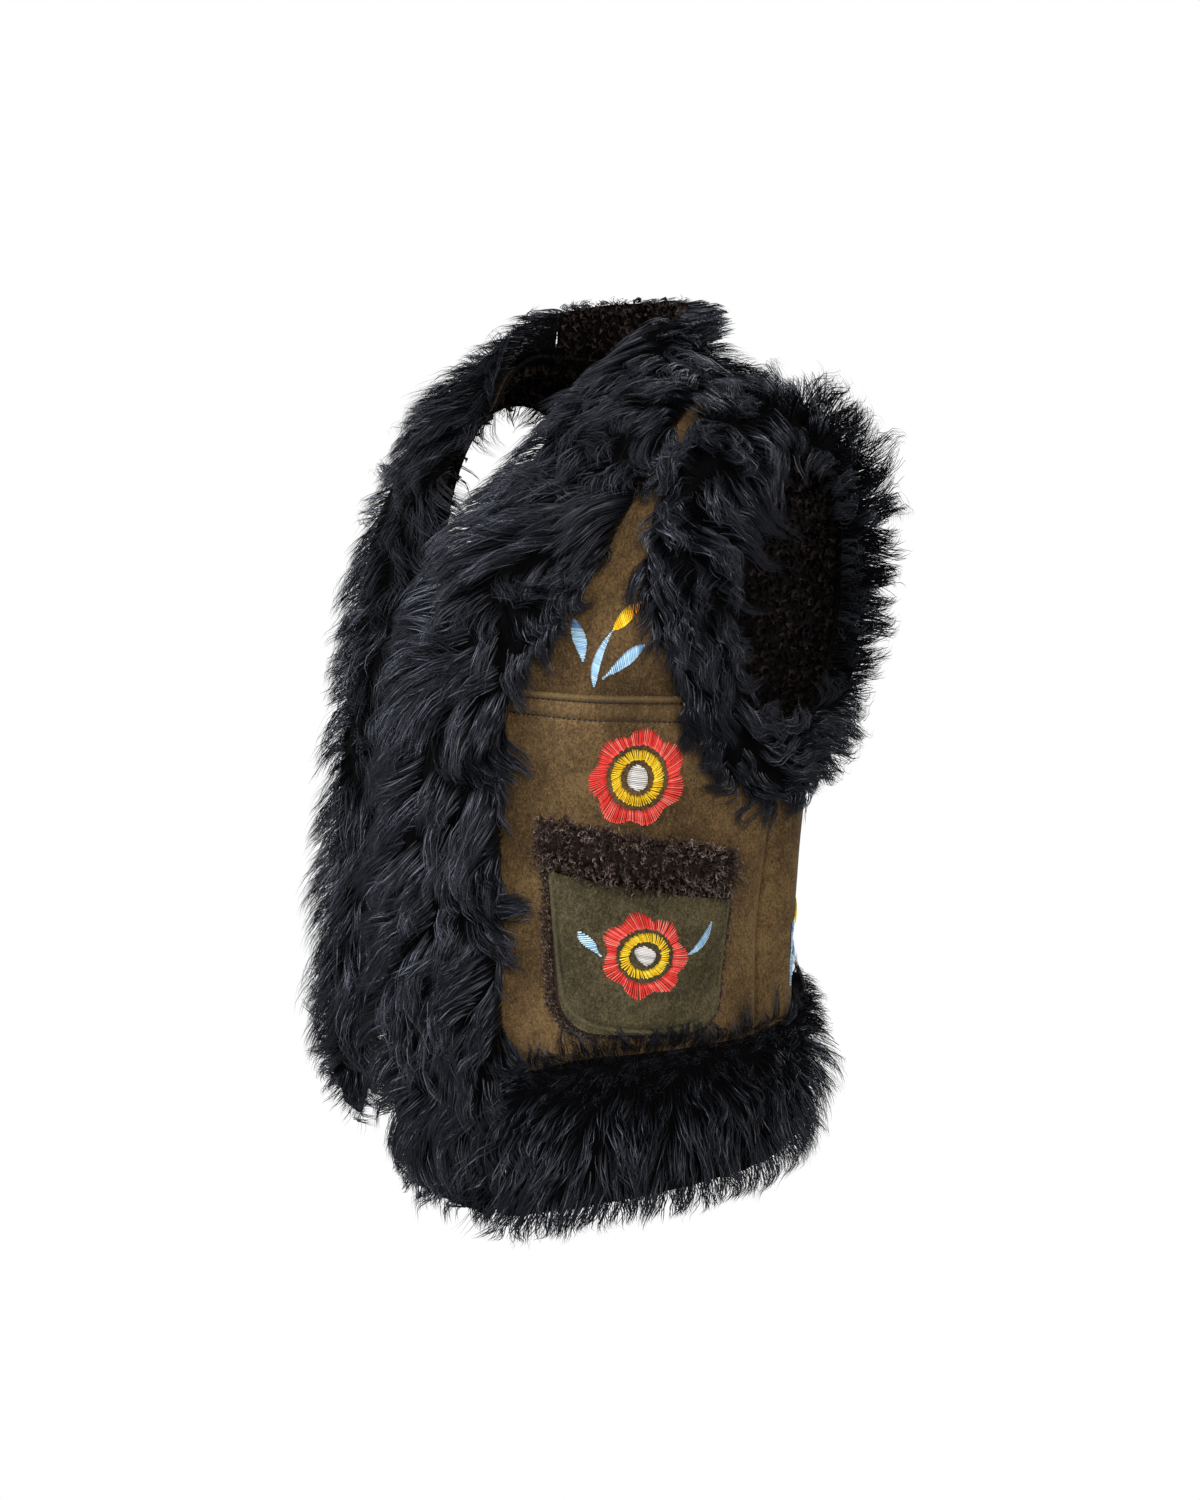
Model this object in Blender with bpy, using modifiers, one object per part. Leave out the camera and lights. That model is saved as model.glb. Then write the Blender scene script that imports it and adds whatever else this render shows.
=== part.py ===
"""A sleeveless shearling vest in the hollow shape that it has when it is worn.

The hide's outer face is one smooth surface through the rings of SECTIONS. A place on it is an angle round the
ring (0 at the centre front, 90 at the wearer's left side, 180 at the centre back) and a level, which is the
height at which that ring passes the side. Panels, pockets and fur bands are all cut from this one surface.
Metres, +Z up, the wearer faces -Y, and the origin is level with the neck ends of the shoulder seams.
"""

import functools
import math

import bmesh
import bpy
import numpy as np

# Walls and gaps
HIDE = 0.003
SEAM_GAP = 0.0003
LAP = 0.018
SLOT = HIDE + 0.0022

# Levels of the cut
HIDE_HEM = -0.620
YOKE_SEAM = -0.238
UNDERARM = -0.272
SHOULDER_TIP = -0.046
NECK = 0.0

# Angles and distances round the body
SIDE_SEAM = 98.0
HALF_SEAM = 0.26
HALF_FUR_SEAM = 1.2
FRONT_GAP = 0.0014
EDGE_INSET = 0.030
HOLE_CENTRE = 93.0
HOLE_HALF_WIDTH = 0.072

SECTION_COLUMNS = ("level", "front_z", "back_z", "half_width", "side_y", "front_y", "back_y", "power")
SECTIONS = (
    (-0.690, -0.704, -0.670, 0.229, 0.000, -0.182, 0.152, 2.30),
    (-0.600, -0.612, -0.588, 0.225, 0.000, -0.192, 0.147, 2.30),
    (-0.520, -0.526, -0.514, 0.218, 0.000, -0.201, 0.138, 2.30),
    (-0.430, -0.432, -0.428, 0.210, 0.000, -0.205, 0.130, 2.30),
    (-0.340, -0.342, -0.340, 0.209, 0.000, -0.204, 0.130, 2.30),
    (-0.270, -0.278, -0.270, 0.213, 0.002, -0.200, 0.136, 2.35),
    (-0.195, -0.218, -0.195, 0.215, 0.004, -0.191, 0.142, 2.40),
    (-0.120, -0.168, -0.125, 0.210, 0.004, -0.176, 0.138, 2.40),
    (-0.072, -0.136, -0.080, 0.202, 0.002, -0.162, 0.124, 2.40),
    (-0.040, -0.113, -0.045, 0.185, -0.004, -0.150, 0.100, 2.30),
    (-0.016, -0.095, -0.020, 0.146, -0.016, -0.137, 0.072, 2.15),
    (0.000, -0.080, 0.000, 0.090, -0.036, -0.124, 0.036, 2.00),
    (0.030, -0.056, 0.032, 0.079, -0.041, -0.118, 0.022, 2.00),
    (0.070, -0.020, 0.072, 0.077, -0.045, -0.120, 0.016, 2.00),
)

# Soft folds of the hide: where each lies, how far it spreads and how far it stands out
FOLD_COLUMNS = ("angle", "level", "half_angle", "half_height", "height")
FOLDS = (
    (98.0, -0.420, 8.0, 0.170, -0.0060),
    (-98.0, -0.420, 8.0, 0.170, -0.0050),
    (113.0, -0.430, 8.0, 0.150, 0.0050),
    (-114.0, -0.410, 8.0, 0.140, 0.0040),
    (84.0, -0.300, 10.0, 0.060, -0.0035),
    (-83.0, -0.305, 10.0, 0.065, -0.0035),
    (50.0, -0.280, 12.0, 0.060, 0.0030),
    (-48.0, -0.285, 12.0, 0.060, 0.0030),
    (142.0, -0.360, 11.0, 0.150, -0.0050),
    (165.0, -0.400, 10.0, 0.150, 0.0040),
    (-140.0, -0.370, 11.0, 0.150, -0.0050),
    (-168.0, -0.390, 9.0, 0.140, 0.0035),
)

# How finely the panels are cut into cells
FRONT_COLUMNS = 9
BACK_COLUMNS = 18
ROW_STEP = 0.026


def steady_slopes(at, values):
    """Slopes that keep a cubic through a table's rows from swinging past them."""
    steps = np.diff(at)
    rises = np.diff(values) / steps
    slopes = np.zeros(len(at))
    slopes[0], slopes[-1] = rises[0], rises[-1]
    for i in range(1, len(at) - 1):
        if rises[i - 1] * rises[i] > 0:
            before, after = 2 * steps[i] + steps[i - 1], steps[i] + 2 * steps[i - 1]
            slopes[i] = (before + after) / (before / rises[i - 1] + after / rises[i])
    return slopes


ROWS = np.array(SECTIONS)
LEVELS = ROWS[:, 0]
SLOPES = np.array([steady_slopes(LEVELS, ROWS[:, k]) for k in range(ROWS.shape[1])]).T


@functools.lru_cache(maxsize=None)
def section(level):
    """The measures of the ring at a level, by their column names."""
    i = int(np.clip(np.searchsorted(LEVELS, level) - 1, 0, len(LEVELS) - 2))
    step = LEVELS[i + 1] - LEVELS[i]
    t = (level - LEVELS[i]) / step
    values = (
        (1 + 2 * t) * (1 - t) ** 2 * ROWS[i]
        + t * (1 - t) ** 2 * step * SLOPES[i]
        + t * t * (3 - 2 * t) * ROWS[i + 1]
        + t * t * (t - 1) * step * SLOPES[i + 1]
    )
    return dict(zip(SECTION_COLUMNS, values))


def bump(share):
    """A soft mound: 1 in the middle, 0 from share -1 and 1 outwards."""
    return 0.5 + 0.5 * math.cos(math.pi * share) if abs(share) < 1 else 0.0


def signed_power(value, power):
    return math.copysign(abs(value) ** power, value)


def between(low, high, share):
    return low + (high - low) * share


@functools.lru_cache(maxsize=None)
def hide_point(angle, level):
    """A point of the hide's outer face."""
    ring = section(level)
    turn = math.radians(angle)
    sine = signed_power(math.sin(turn), 2 / ring["power"])
    cosine = signed_power(math.cos(turn), 2 / ring["power"])
    far_y = ring["front_y"] if cosine > 0 else ring["back_y"]
    far_z = ring["front_z"] if cosine > 0 else ring["back_z"]
    x = ring["half_width"] * sine
    y = between(ring["side_y"], far_y, abs(cosine))
    z = between(level, far_z, math.cos(turn) ** 2)
    push = 0.0
    for fold in FOLDS:
        off = (angle - fold[0] + 180) % 360 - 180
        push += fold[4] * bump(off / fold[2]) * bump((level - fold[1]) / fold[3])
    return np.array((x + push * math.sin(turn), y - push * math.cos(turn), z))


@functools.lru_cache(maxsize=None)
def hide_normal(angle, level):
    """The direction out of the hide at that place."""
    round_it = hide_point(angle + 1.0, level) - hide_point(angle - 1.0, level)
    up = hide_point(angle, level + 0.002) - hide_point(angle, level - 0.002)
    out = np.cross(round_it, up)
    return out / np.linalg.norm(out)


def off_hide(angle, level, out):
    """A point that stands off the hide's outer face by out."""
    return hide_point(angle, level) + out * hide_normal(angle, level)


@functools.lru_cache(maxsize=None)
def ring_lengths(level):
    """How far it is round the ring from the centre front to each degree of the wearer's left half."""
    points = np.array([hide_point(float(a), level) for a in range(181)])
    steps = np.linalg.norm(np.diff(points, axis=0), axis=1)
    return np.concatenate([[0.0], np.cumsum(steps)])


def angle_from_front(level, metres):
    """The angle of the place that lies metres round the ring from the centre front."""
    size = float(np.interp(abs(metres), ring_lengths(level), np.arange(181.0)))
    return math.copysign(size, metres)


@functools.lru_cache(maxsize=None)
def climb_table():
    """Levels, and how far up the hide at the wearer's side each lies from the first."""
    levels = np.linspace(SECTIONS[0][0], SECTIONS[-1][0], 400)
    points = np.array([hide_point(90.0, float(level)) for level in levels])
    steps = np.linalg.norm(np.diff(points, axis=0), axis=1)
    return levels, np.concatenate([[0.0], np.cumsum(steps)])


def level_up(level, metres):
    """The level that lies metres farther up the hide at the wearer's side."""
    levels, climbs = climb_table()
    return float(np.interp(np.interp(level, levels, climbs) + metres, climbs, levels))


def climb_to(level):
    levels, climbs = climb_table()
    return float(np.interp(level, levels, climbs))


def angle_from_side(level, metres):
    """The angle of the place that lies metres behind the armhole's middle, round the ring."""
    lengths = ring_lengths(level)
    middle = np.interp(HOLE_CENTRE, np.arange(181.0), lengths)
    return float(np.interp(middle + metres, lengths, np.arange(181.0)))


def hole_half_width(level):
    """Half the armhole's width round the ring, 0 above and below the hole."""
    low, high = climb_to(UNDERARM), climb_to(SHOULDER_TIP)
    share = (2 * climb_to(level) - low - high) / (high - low)
    return HOLE_HALF_WIDTH * math.sqrt(1 - share * share) if abs(share) < 1 else 0.0


def front_edge(level):
    """The angle of a front's free edge, which slants away from the other above the break of the front."""
    break_level, slant = -0.255, 0.19
    opened = max(0.0, level - break_level)
    return angle_from_front(level, EDGE_INSET + slant * opened)


def side_edge(level, towards_front):
    """The angle where a front or the back ends: at the side seam, the armhole or the shoulder seam."""
    sign = -1 if towards_front else 1
    seam = SIDE_SEAM + sign * HALF_SEAM
    half = hole_half_width(level)
    if half == 0.0:
        return seam
    edge = angle_from_side(level, sign * half)
    return min(edge, seam) if towards_front else max(edge, seam)


def rows_through(*stops):
    """Levels at each of the stops, and about one step apart up the hide between them."""
    levels = [stops[0]]
    for low, high in zip(stops, stops[1:]):
        fine = np.linspace(low, high, 60)
        path = np.array([hide_point(60.0, float(level)) for level in fine])
        climb = np.concatenate([[0.0], np.cumsum(np.linalg.norm(np.diff(path, axis=0), axis=1))])
        cells = max(1, round(climb[-1] / ROW_STEP))
        levels += [float(level) for level in np.interp(np.linspace(0, climb[-1], cells + 1)[1:], climb, fine)]
    return levels


def material(name, colour, roughness):
    """A Principled finish of one colour."""
    made = bpy.data.materials.new(name)
    made.use_nodes = True
    shader = made.node_tree.nodes["Principled BSDF"]
    shader.inputs["Base Color"].default_value = (*colour, 1.0)
    shader.inputs["Roughness"].default_value = roughness
    shader.inputs["Metallic"].default_value = 0.0
    made.diffuse_color = (*colour, 1.0)
    return made


def add_part(name, bm, finish, smooth=True):
    """Puts a mesh in the vest's collection as one named piece."""
    mesh = bpy.data.meshes.new(name)
    bm.to_mesh(mesh)
    bm.free()
    mesh.materials.append(finish)
    if smooth:
        mesh.shade_smooth()
    part = bpy.data.objects.new(name, mesh)
    bpy.data.collections["shearling_vest"].objects.link(part)
    return part


def sewn_sheet(name, cells, place, finish, thickness, out_side=False):
    """A sheet of cells columns and rows, put in place by place(across, up) and given its thickness."""
    columns, rows = cells
    bm = bmesh.new()
    bmesh.ops.create_grid(bm, x_segments=columns, y_segments=rows, size=0.5)
    for corner in bm.verts:
        across = round((corner.co.x + 0.5) * columns)
        up = round((corner.co.y + 0.5) * rows)
        corner.co = place(across, up)
    part = add_part(name, bm, finish)
    wall = part.modifiers.new("wall", "SOLIDIFY")
    wall.thickness = thickness
    wall.offset = 1.0 if out_side else -1.0
    wall.use_even_offset = True
    return part


def mirrored(angle, wearer_side):
    return angle if wearer_side == "left" else -angle


def face_out(wearer_side, across, columns):
    """The column to use, counted so that the sheet faces out on either side of the body."""
    return across if wearer_side == "left" else columns - across


def lower_front(wearer_side, finish):
    """A front from its hem to the yoke seam, where its top edge lies over the yoke's foot."""
    levels = rows_through(HIDE_HEM, UNDERARM, YOKE_SEAM - LAP, YOKE_SEAM)

    def place(across, up):
        level = levels[up]
        share = face_out(wearer_side, across, FRONT_COLUMNS) / FRONT_COLUMNS
        angle = between(front_edge(level), side_edge(level, True), share)
        return off_hide(mirrored(angle, wearer_side), level, 0.0)

    return sewn_sheet(f"front_{wearer_side}", (FRONT_COLUMNS, len(levels) - 1), place, finish, HIDE)


def yoke(wearer_side, finish):
    """The upper front, from the foot that is sunk under the lower front to the shoulder seam and the neck."""
    levels = rows_through(YOKE_SEAM - LAP, YOKE_SEAM + 0.002, YOKE_SEAM + LAP, SHOULDER_TIP, NECK)

    def place(across, up):
        level = levels[up]
        share = face_out(wearer_side, across, FRONT_COLUMNS) / FRONT_COLUMNS
        angle = between(front_edge(level), side_edge(level, True), share)
        sunk = min(1.0, max(0.0, (YOKE_SEAM + LAP - level) / (LAP - 0.002)))
        return off_hide(mirrored(angle, wearer_side), level, -SLOT * sunk)

    return sewn_sheet(f"yoke_{wearer_side}", (FRONT_COLUMNS, len(levels) - 1), place, finish, HIDE)


def back(finish):
    """The back in one piece, from the hem to the shoulder seams and the neck."""
    levels = rows_through(HIDE_HEM, UNDERARM, SHOULDER_TIP, NECK)

    def place(across, up):
        level = levels[up]
        edge = side_edge(level, False)
        angle = between(edge, 360 - edge, across / BACK_COLUMNS)
        return off_hide(angle, level, 0.0)

    return sewn_sheet("back", (BACK_COLUMNS, len(levels) - 1), place, finish, HIDE)


# Fur bands: solids that reach as far out as the hair does
FUR_LIFT = {"front": 0.0020, "armhole": 0.0016, "collar": 0.0024, "hem": 0.0012}
FUR_CELLS = {"outer": 8, "inner": 4}
LOCK_COLUMNS = ("length", "skew", "height")
LOCKS = ((0.047, 0.9, 0.0040), (0.029, -1.3, 0.0030), (0.0185, 2.1, 0.0018))
LOCK_SKEW_LENGTH = 0.055
EDGE_LOCK = 0.0050
END_FADE = 0.030
STATION_STEP = 0.0185


def lock_relief(along, across, seed):
    """How far the pile's locks stand above or below its mean height."""
    relief = 0.0
    for number, (length, skew, height) in enumerate(LOCKS):
        turn = math.tau * (along / length + 0.17 * number + 0.31 * seed)
        relief += height * math.sin(turn + skew * math.sin(math.tau * across / LOCK_SKEW_LENGTH + seed))
    return relief


def pile_height(share, pile):
    """The mean height of the pile over the hide, from the free edge at share 0 to the sewn edge at 1."""
    return pile * between(0.12, 1.0, math.sin(math.pi * between(0.16, 0.93, share)) ** 0.5)


def fur_section(station, along, seed, liveliness, lift, rag_sign):
    """The closed outline of a fur band where it crosses one station: over the pile, then back along the hide.

    A station is (free angle, free level, sewn angle, sewn level, pile). The pile fans evenly from one edge's
    normal to the other's, so that it doesn't cross itself in the bend between neck and shoulder."""
    free_angle, free_level, sewn_angle, sewn_level, pile = station
    free_at, sewn_at = hide_point(free_angle, free_level), hide_point(sewn_angle, sewn_level)
    width = float(np.linalg.norm(sewn_at - free_at))
    rag = liveliness * EDGE_LOCK / width
    free_rag = rag_sign * rag * math.sin(math.tau * along / 0.023)
    sewn_rag = rag * math.sin(math.tau * along / 0.027 + 1.7 * seed)

    free_normal, sewn_normal = hide_normal(free_angle, free_level), hide_normal(sewn_angle, sewn_level)

    def place(share):
        shifted = share + between(free_rag, sewn_rag, share) * abs(2 * share - 1)
        return between(free_angle, sewn_angle, shifted), between(free_level, sewn_level, shifted)

    points = []
    for i in range(FUR_CELLS["outer"] + 1):
        share = i / FUR_CELLS["outer"]
        edge_fade = math.sin(math.pi * between(0.08, 0.92, share))
        relief = lock_relief(along, share * width, seed) * liveliness * edge_fade * pile / 0.035
        fan = between(free_normal, sewn_normal, share)
        height = lift + pile_height(share, pile) + relief
        points.append(hide_point(*place(share)) + height * fan / np.linalg.norm(fan))
    for i in range(FUR_CELLS["inner"], -1, -1):
        points.append(off_hide(*place(between(0.02, 0.98, i / FUR_CELLS["inner"])), lift))
    return points


def station_distances(stations):
    """How far each station is along the middle of its band."""
    middles = [hide_point((s[0] + s[2]) / 2, (s[1] + s[3]) / 2) for s in stations]
    steps = [float(np.linalg.norm(b - a)) for a, b in zip(middles, middles[1:])]
    return np.concatenate([[0.0], np.cumsum(steps)])


def fur_band(place, wearer_side, stations, finish, seed):
    """A loft through the outlines of a fur band at its stations.

    Only the armhole's band closes on itself. The others calm down towards their butted ends, and the
    wearer's right side mirrors the left one, except that both front edges wave the same way where they meet."""
    closed, mirror = place == "armhole", wearer_side == "right"
    distances = station_distances(stations)
    bm = bmesh.new()
    rings = []
    for station, along in zip(stations, distances):
        from_end = min(along, distances[-1] - along)
        liveliness = 1.0 if closed else min(1.0, from_end / END_FADE)
        rag_sign = -1 if mirror and place == "front" else 1
        outline = fur_section(station, float(along), seed, liveliness, FUR_LIFT[place], rag_sign)
        if mirror:
            outline = [point * (-1, 1, 1) for point in outline]
        rings.append([bm.verts.new(point) for point in outline])
    pairs = list(zip(rings, rings[1:]))
    if closed:
        pairs.append((rings[-1], rings[0]))
    count = len(rings[0])
    for low, high in pairs:
        for i in range(count):
            j = (i + 1) % count
            bm.faces.new((low[i], low[j], high[j], high[i]))
    if not closed:
        bm.faces.new(rings[0])
        bm.faces.new(reversed(rings[-1]))
    bmesh.ops.recalc_face_normals(bm, faces=bm.faces[:])
    name = f"fur_{place}_{wearer_side}" if wearer_side else f"fur_{place}"
    return add_part(name, bm, finish)


def resampled(stations):
    """The stations again, one step apart from the first, along a smooth path through the given ones."""
    distances = station_distances(stations)
    steps = int(distances[-1] / STATION_STEP)
    wanted = np.append(np.arange(steps) * STATION_STEP, distances[-1])
    table = np.array(stations)
    columns = []
    for k in range(table.shape[1]):
        slopes = steady_slopes(distances, table[:, k])
        i = np.clip(np.searchsorted(distances, wanted) - 1, 0, len(distances) - 2)
        step = distances[i + 1] - distances[i]
        t = (wanted - distances[i]) / step
        columns.append(
            (1 + 2 * t) * (1 - t) ** 2 * table[i, k]
            + t * (1 - t) ** 2 * step * slopes[i]
            + t * t * (3 - 2 * t) * table[i + 1, k]
            + t * t * (t - 1) * step * slopes[i + 1]
        )
    return [tuple(float(v) for v in row) for row in zip(*columns)]


# The front band where it is straight: how far each edge lies from the centre front, and its pile.
# The first row is the band's foot, which hangs lower on the wearer's left.
BAND_COLUMNS = ("level", "free_metres", "sewn_metres", "pile")
FRONT_ROWS = (
    (-0.645, 0.044, 0.140, 0.022),
    (-0.615, 0.024, 0.146, 0.034),
    (-0.540, 0.006, 0.146, 0.039),
    (-0.430, FRONT_GAP, 0.134, 0.040),
    (-0.340, FRONT_GAP, 0.128, 0.040),
    (-0.250, FRONT_GAP, 0.122, 0.039),
)
FOOT_DROP = {"left": 0.020, "right": 0.0}
# The same band round the neck, by angle and level, to the shoulder seam and on to the centre back
NECK_COLUMNS = ("free_angle", "free_level", "sewn_angle", "sewn_level", "pile")
NECK_STATIONS = (
    (1.6, -0.175, 38.0, -0.180, 0.038),
    (4.5, -0.110, 45.0, -0.130, 0.038),
    (9.5, -0.052, 50.0, -0.085, 0.037),
    (22.0, -0.012, 57.0, -0.050, 0.036),
    (48.0, 0.012, 70.0, -0.024, 0.035),
    (75.0, 0.030, 86.0, -0.0165, 0.033),
    (SIDE_SEAM - HALF_FUR_SEAM, 0.038, SIDE_SEAM - HALF_FUR_SEAM, -0.0150, 0.032),
)
COLLAR_STATIONS = (
    (SIDE_SEAM + HALF_FUR_SEAM, 0.038, SIDE_SEAM + HALF_FUR_SEAM, -0.0150, 0.032),
    (135.0, 0.048, 135.0, -0.0190, 0.031),
    (180.0, 0.052, 180.0, -0.0220, 0.030),
    (225.0, 0.048, 225.0, -0.0190, 0.031),
    (360 - SIDE_SEAM - HALF_FUR_SEAM, 0.038, 360 - SIDE_SEAM - HALF_FUR_SEAM, -0.0150, 0.032),
)
HEM_COLUMNS = ("angle", "free_level", "sewn_level", "pile")
HEM_ROWS = (
    (58.0, -0.652, -0.520, 0.038),
    (90.0, -0.636, -0.512, 0.038),
    (130.0, -0.624, -0.508, 0.038),
    (180.0, -0.620, -0.506, 0.038),
    (230.0, -0.622, -0.508, 0.038),
    (270.0, -0.628, -0.512, 0.038),
    (302.0, -0.634, -0.520, 0.038),
)
HEM_ENDS = {"left": (-0.672, -0.540, 0.036), "right": (-0.644, -0.540, 0.036)}
HEM_CLEARANCE = 0.0080


def front_rows(wearer_side):
    """The front band's rows with its foot let down on the side where it hangs lower."""
    drops = (FOOT_DROP[wearer_side],) * 2 + (0.0,) * (len(FRONT_ROWS) - 2)
    return [(level - drop, *rest) for (level, *rest), drop in zip(FRONT_ROWS, drops)]


def front_stations(wearer_side):
    """The front band from the shoulder seam down to its foot."""
    stations = []
    for level, free_metres, sewn_metres, pile in front_rows(wearer_side):
        free, sewn = angle_from_front(level, free_metres), angle_from_front(level, sewn_metres)
        stations.append((free, level, sewn, level, pile))
    return list(reversed(stations + list(NECK_STATIONS)))


def hem_stations():
    """The hem band from the left front band round the back to the right one, its free edge below the hide."""
    ends = []
    for wearer_side in ("left", "right"):
        *levels, pile = HEM_ENDS[wearer_side]
        rows = np.array(front_rows(wearer_side))
        places = []
        for level in levels:
            beside = float(np.interp(level, rows[:, 0], rows[:, 2])) + HEM_CLEARANCE
            angle = angle_from_front(level, beside)
            places += [angle if wearer_side == "left" else 360 - angle, level]
        ends.append((*places, pile))
    return [ends[0]] + [(angle, free, angle, sewn, pile) for angle, free, sewn, pile in HEM_ROWS] + [ends[1]]


ARMHOLE_COLUMNS = ("direction", "free_out", "sewn_out", "pile")
ARMHOLE_ROWS = (
    (0, -0.008, 0.044, 0.036),
    (35, -0.006, 0.046, 0.037),
    (70, -0.004, 0.062, 0.038),
    (95, -0.004, 0.052, 0.038),
    (115, -0.006, 0.040, 0.037),
    (145, -0.004, 0.035, 0.036),
    (165, -0.010, 0.042, 0.037),
    (190, -0.011, 0.055, 0.038),
    (225, -0.007, 0.064, 0.038),
    (270, -0.012, 0.072, 0.040),
    (320, -0.010, 0.062, 0.040),
)
ARMHOLE_STATIONS = 34


def armhole_spot(direction, out):
    """The angle and level of a place out beyond the armhole's cut edge; direction 0 is up, 90 is forwards."""
    low, high = climb_to(UNDERARM), climb_to(SHOULDER_TIP)
    turn = math.radians(direction)
    climb = (high - low) / 2 + math.cos(turn) * ((high - low) / 2 + out)
    level = level_up(UNDERARM, climb)
    return angle_from_side(level, -math.sin(turn) * (HOLE_HALF_WIDTH + out)), level


def armhole_stations():
    table = np.array(ARMHOLE_ROWS, float)
    wrapped = np.vstack([table, table[0] + (360, 0, 0, 0)])
    stations = []
    for i in range(ARMHOLE_STATIONS):
        direction = 360 * i / ARMHOLE_STATIONS
        free_out, sewn_out, pile = (np.interp(direction, wrapped[:, 0], wrapped[:, k]) for k in (1, 2, 3))
        free, sewn = armhole_spot(direction, free_out), armhole_spot(direction, sewn_out)
        stations.append((*free, *sewn, float(pile)))
    return stations


# Pockets: a shearling patch with round lower corners, and a roll of fleece over its mouth
POCKET_MIDDLE = 0.241
POCKET_TOP = -0.388
POCKET_HEIGHT = 0.123
POCKET_TOP_WIDTH = 0.157
POCKET_FOOT_WIDTH = 0.138
POCKET_SLANT = 0.014
FRONT_RISE = 0.007
POCKET_CORNER = 0.030
POCKET_THICK = 0.009
POCKET_CELLS = (8, 10)
CUFF_HEIGHT = 0.036
CUFF_THICK = 0.013
CUFF_MIDDLE = 0.2365
CUFF_HALF = 0.079


def pocket_half_width(up_share):
    half = between(POCKET_FOOT_WIDTH, POCKET_TOP_WIDTH, up_share) / 2
    rise = up_share * POCKET_HEIGHT
    if rise < POCKET_CORNER:
        half -= POCKET_CORNER - math.sqrt(POCKET_CORNER**2 - (POCKET_CORNER - rise) ** 2)
    return half


def mouth_rise(share):
    """How much higher the pocket's mouth lies than its middle line, from its front end at share 0."""
    return FRONT_RISE * (1 - share) - POCKET_SLANT * share


def pocket(wearer_side, finish):
    """The patch pocket: hide outside and wool inside, lying on the front."""
    columns, rows = POCKET_CELLS

    def place(across, up):
        up_share = (up / rows) ** 1.25
        share = face_out(wearer_side, across, columns) / columns
        level = POCKET_TOP - POCKET_HEIGHT * (1 - up_share) + mouth_rise(share) * up_share
        metres = POCKET_MIDDLE + (2 * share - 1) * pocket_half_width(up_share)
        angle = angle_from_front(level, metres)
        return off_hide(mirrored(angle, wearer_side), level, SEAM_GAP * 2)

    part = sewn_sheet(f"pocket_{wearer_side}", POCKET_CELLS, place, finish, POCKET_THICK, out_side=True)
    soften = part.modifiers.new("soft_edge", "BEVEL")
    soften.width = 0.0025
    soften.segments = 1
    soften.angle_limit = math.radians(60)
    return part


def cuff(wearer_side, finish, seed):
    """The fleece turned over the pocket's mouth, as a thick lumpy roll."""
    stations = 15
    bm = bmesh.new()
    rings = []
    for i in range(stations):
        share = i / (stations - 1)
        fullness = math.sqrt(max(0.0, 1 - (2 * share - 1) ** 8))
        outline = []
        for k in range(10):
            turn = math.tau * k / 10
            rise = 0.5 * CUFF_HEIGHT * math.cos(turn) * between(0.75, 1.0, fullness)
            lump = 1 + 0.10 * math.sin(share * 31 + 2 * k + seed)
            swell = max(0.0, math.sin(turn)) * CUFF_THICK * between(0.55, 1.0, fullness) * lump
            level = POCKET_TOP + 0.002 + CUFF_HEIGHT / 2 + rise + mouth_rise(share)
            angle = angle_from_front(level, CUFF_MIDDLE + (2 * share - 1) * CUFF_HALF)
            point = off_hide(mirrored(angle, wearer_side), level, 3 * SEAM_GAP + swell)
            outline.append(bm.verts.new(point))
        rings.append(outline)
    for low, high in zip(rings, rings[1:]):
        for k in range(10):
            j = (k + 1) % 10
            bm.faces.new((low[k], low[j], high[j], high[k]))
    bm.faces.new(rings[0])
    bm.faces.new(reversed(rings[-1]))
    bmesh.ops.recalc_face_normals(bm, faces=bm.faces[:])
    return add_part(f"cuff_{wearer_side}", bm, finish)


def clear_scene():
    for thing in list(bpy.data.objects):
        bpy.data.objects.remove(thing, do_unlink=True)


def main():
    clear_scene()
    vest = bpy.data.collections.new("shearling_vest")
    bpy.context.scene.collection.children.link(vest)
    suede = material("olive_suede", (0.105, 0.070, 0.028), 0.95)
    pocket_suede = material("dark_olive_suede", (0.050, 0.045, 0.022), 0.95)
    long_fur = material("black_long_fur", (0.008, 0.009, 0.012), 0.55)
    fleece = material("brown_curly_fleece", (0.020, 0.014, 0.011), 0.9)
    armhole_path = armhole_stations()
    for number, wearer_side in enumerate(("left", "right")):
        lower_front(wearer_side, suede)
        yoke(wearer_side, suede)
        pocket(wearer_side, pocket_suede)
        cuff(wearer_side, fleece, seed=1.3 * number)
        front_path = resampled(front_stations(wearer_side))
        fur_band("front", wearer_side, front_path, long_fur, seed=0.4 + number)
        fur_band("armhole", wearer_side, armhole_path, long_fur, seed=1.1 + number)
    back(suede)
    fur_band("collar", None, resampled(COLLAR_STATIONS), long_fur, seed=2.2)
    fur_band("hem", None, resampled(hem_stations()), long_fur, seed=3.1)


main()
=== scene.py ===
"""The looks of a shearling vest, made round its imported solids.

The script is laid out as a Blender add-on and is run as a script. Hide, fur, fleece, stitching and
embroidery all lie on one smooth surface, the hide's outer face. A place on it is an angle round the body (0
at the centre front, 90 at the wearer's left side, 180 at the centre back) and a level, the height at which
that ring passes the side. Metres, +Z up, and the wearer faces -Y.
"""

import math

import bpy
import numpy as np
from mathutils import Matrix, Vector


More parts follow.
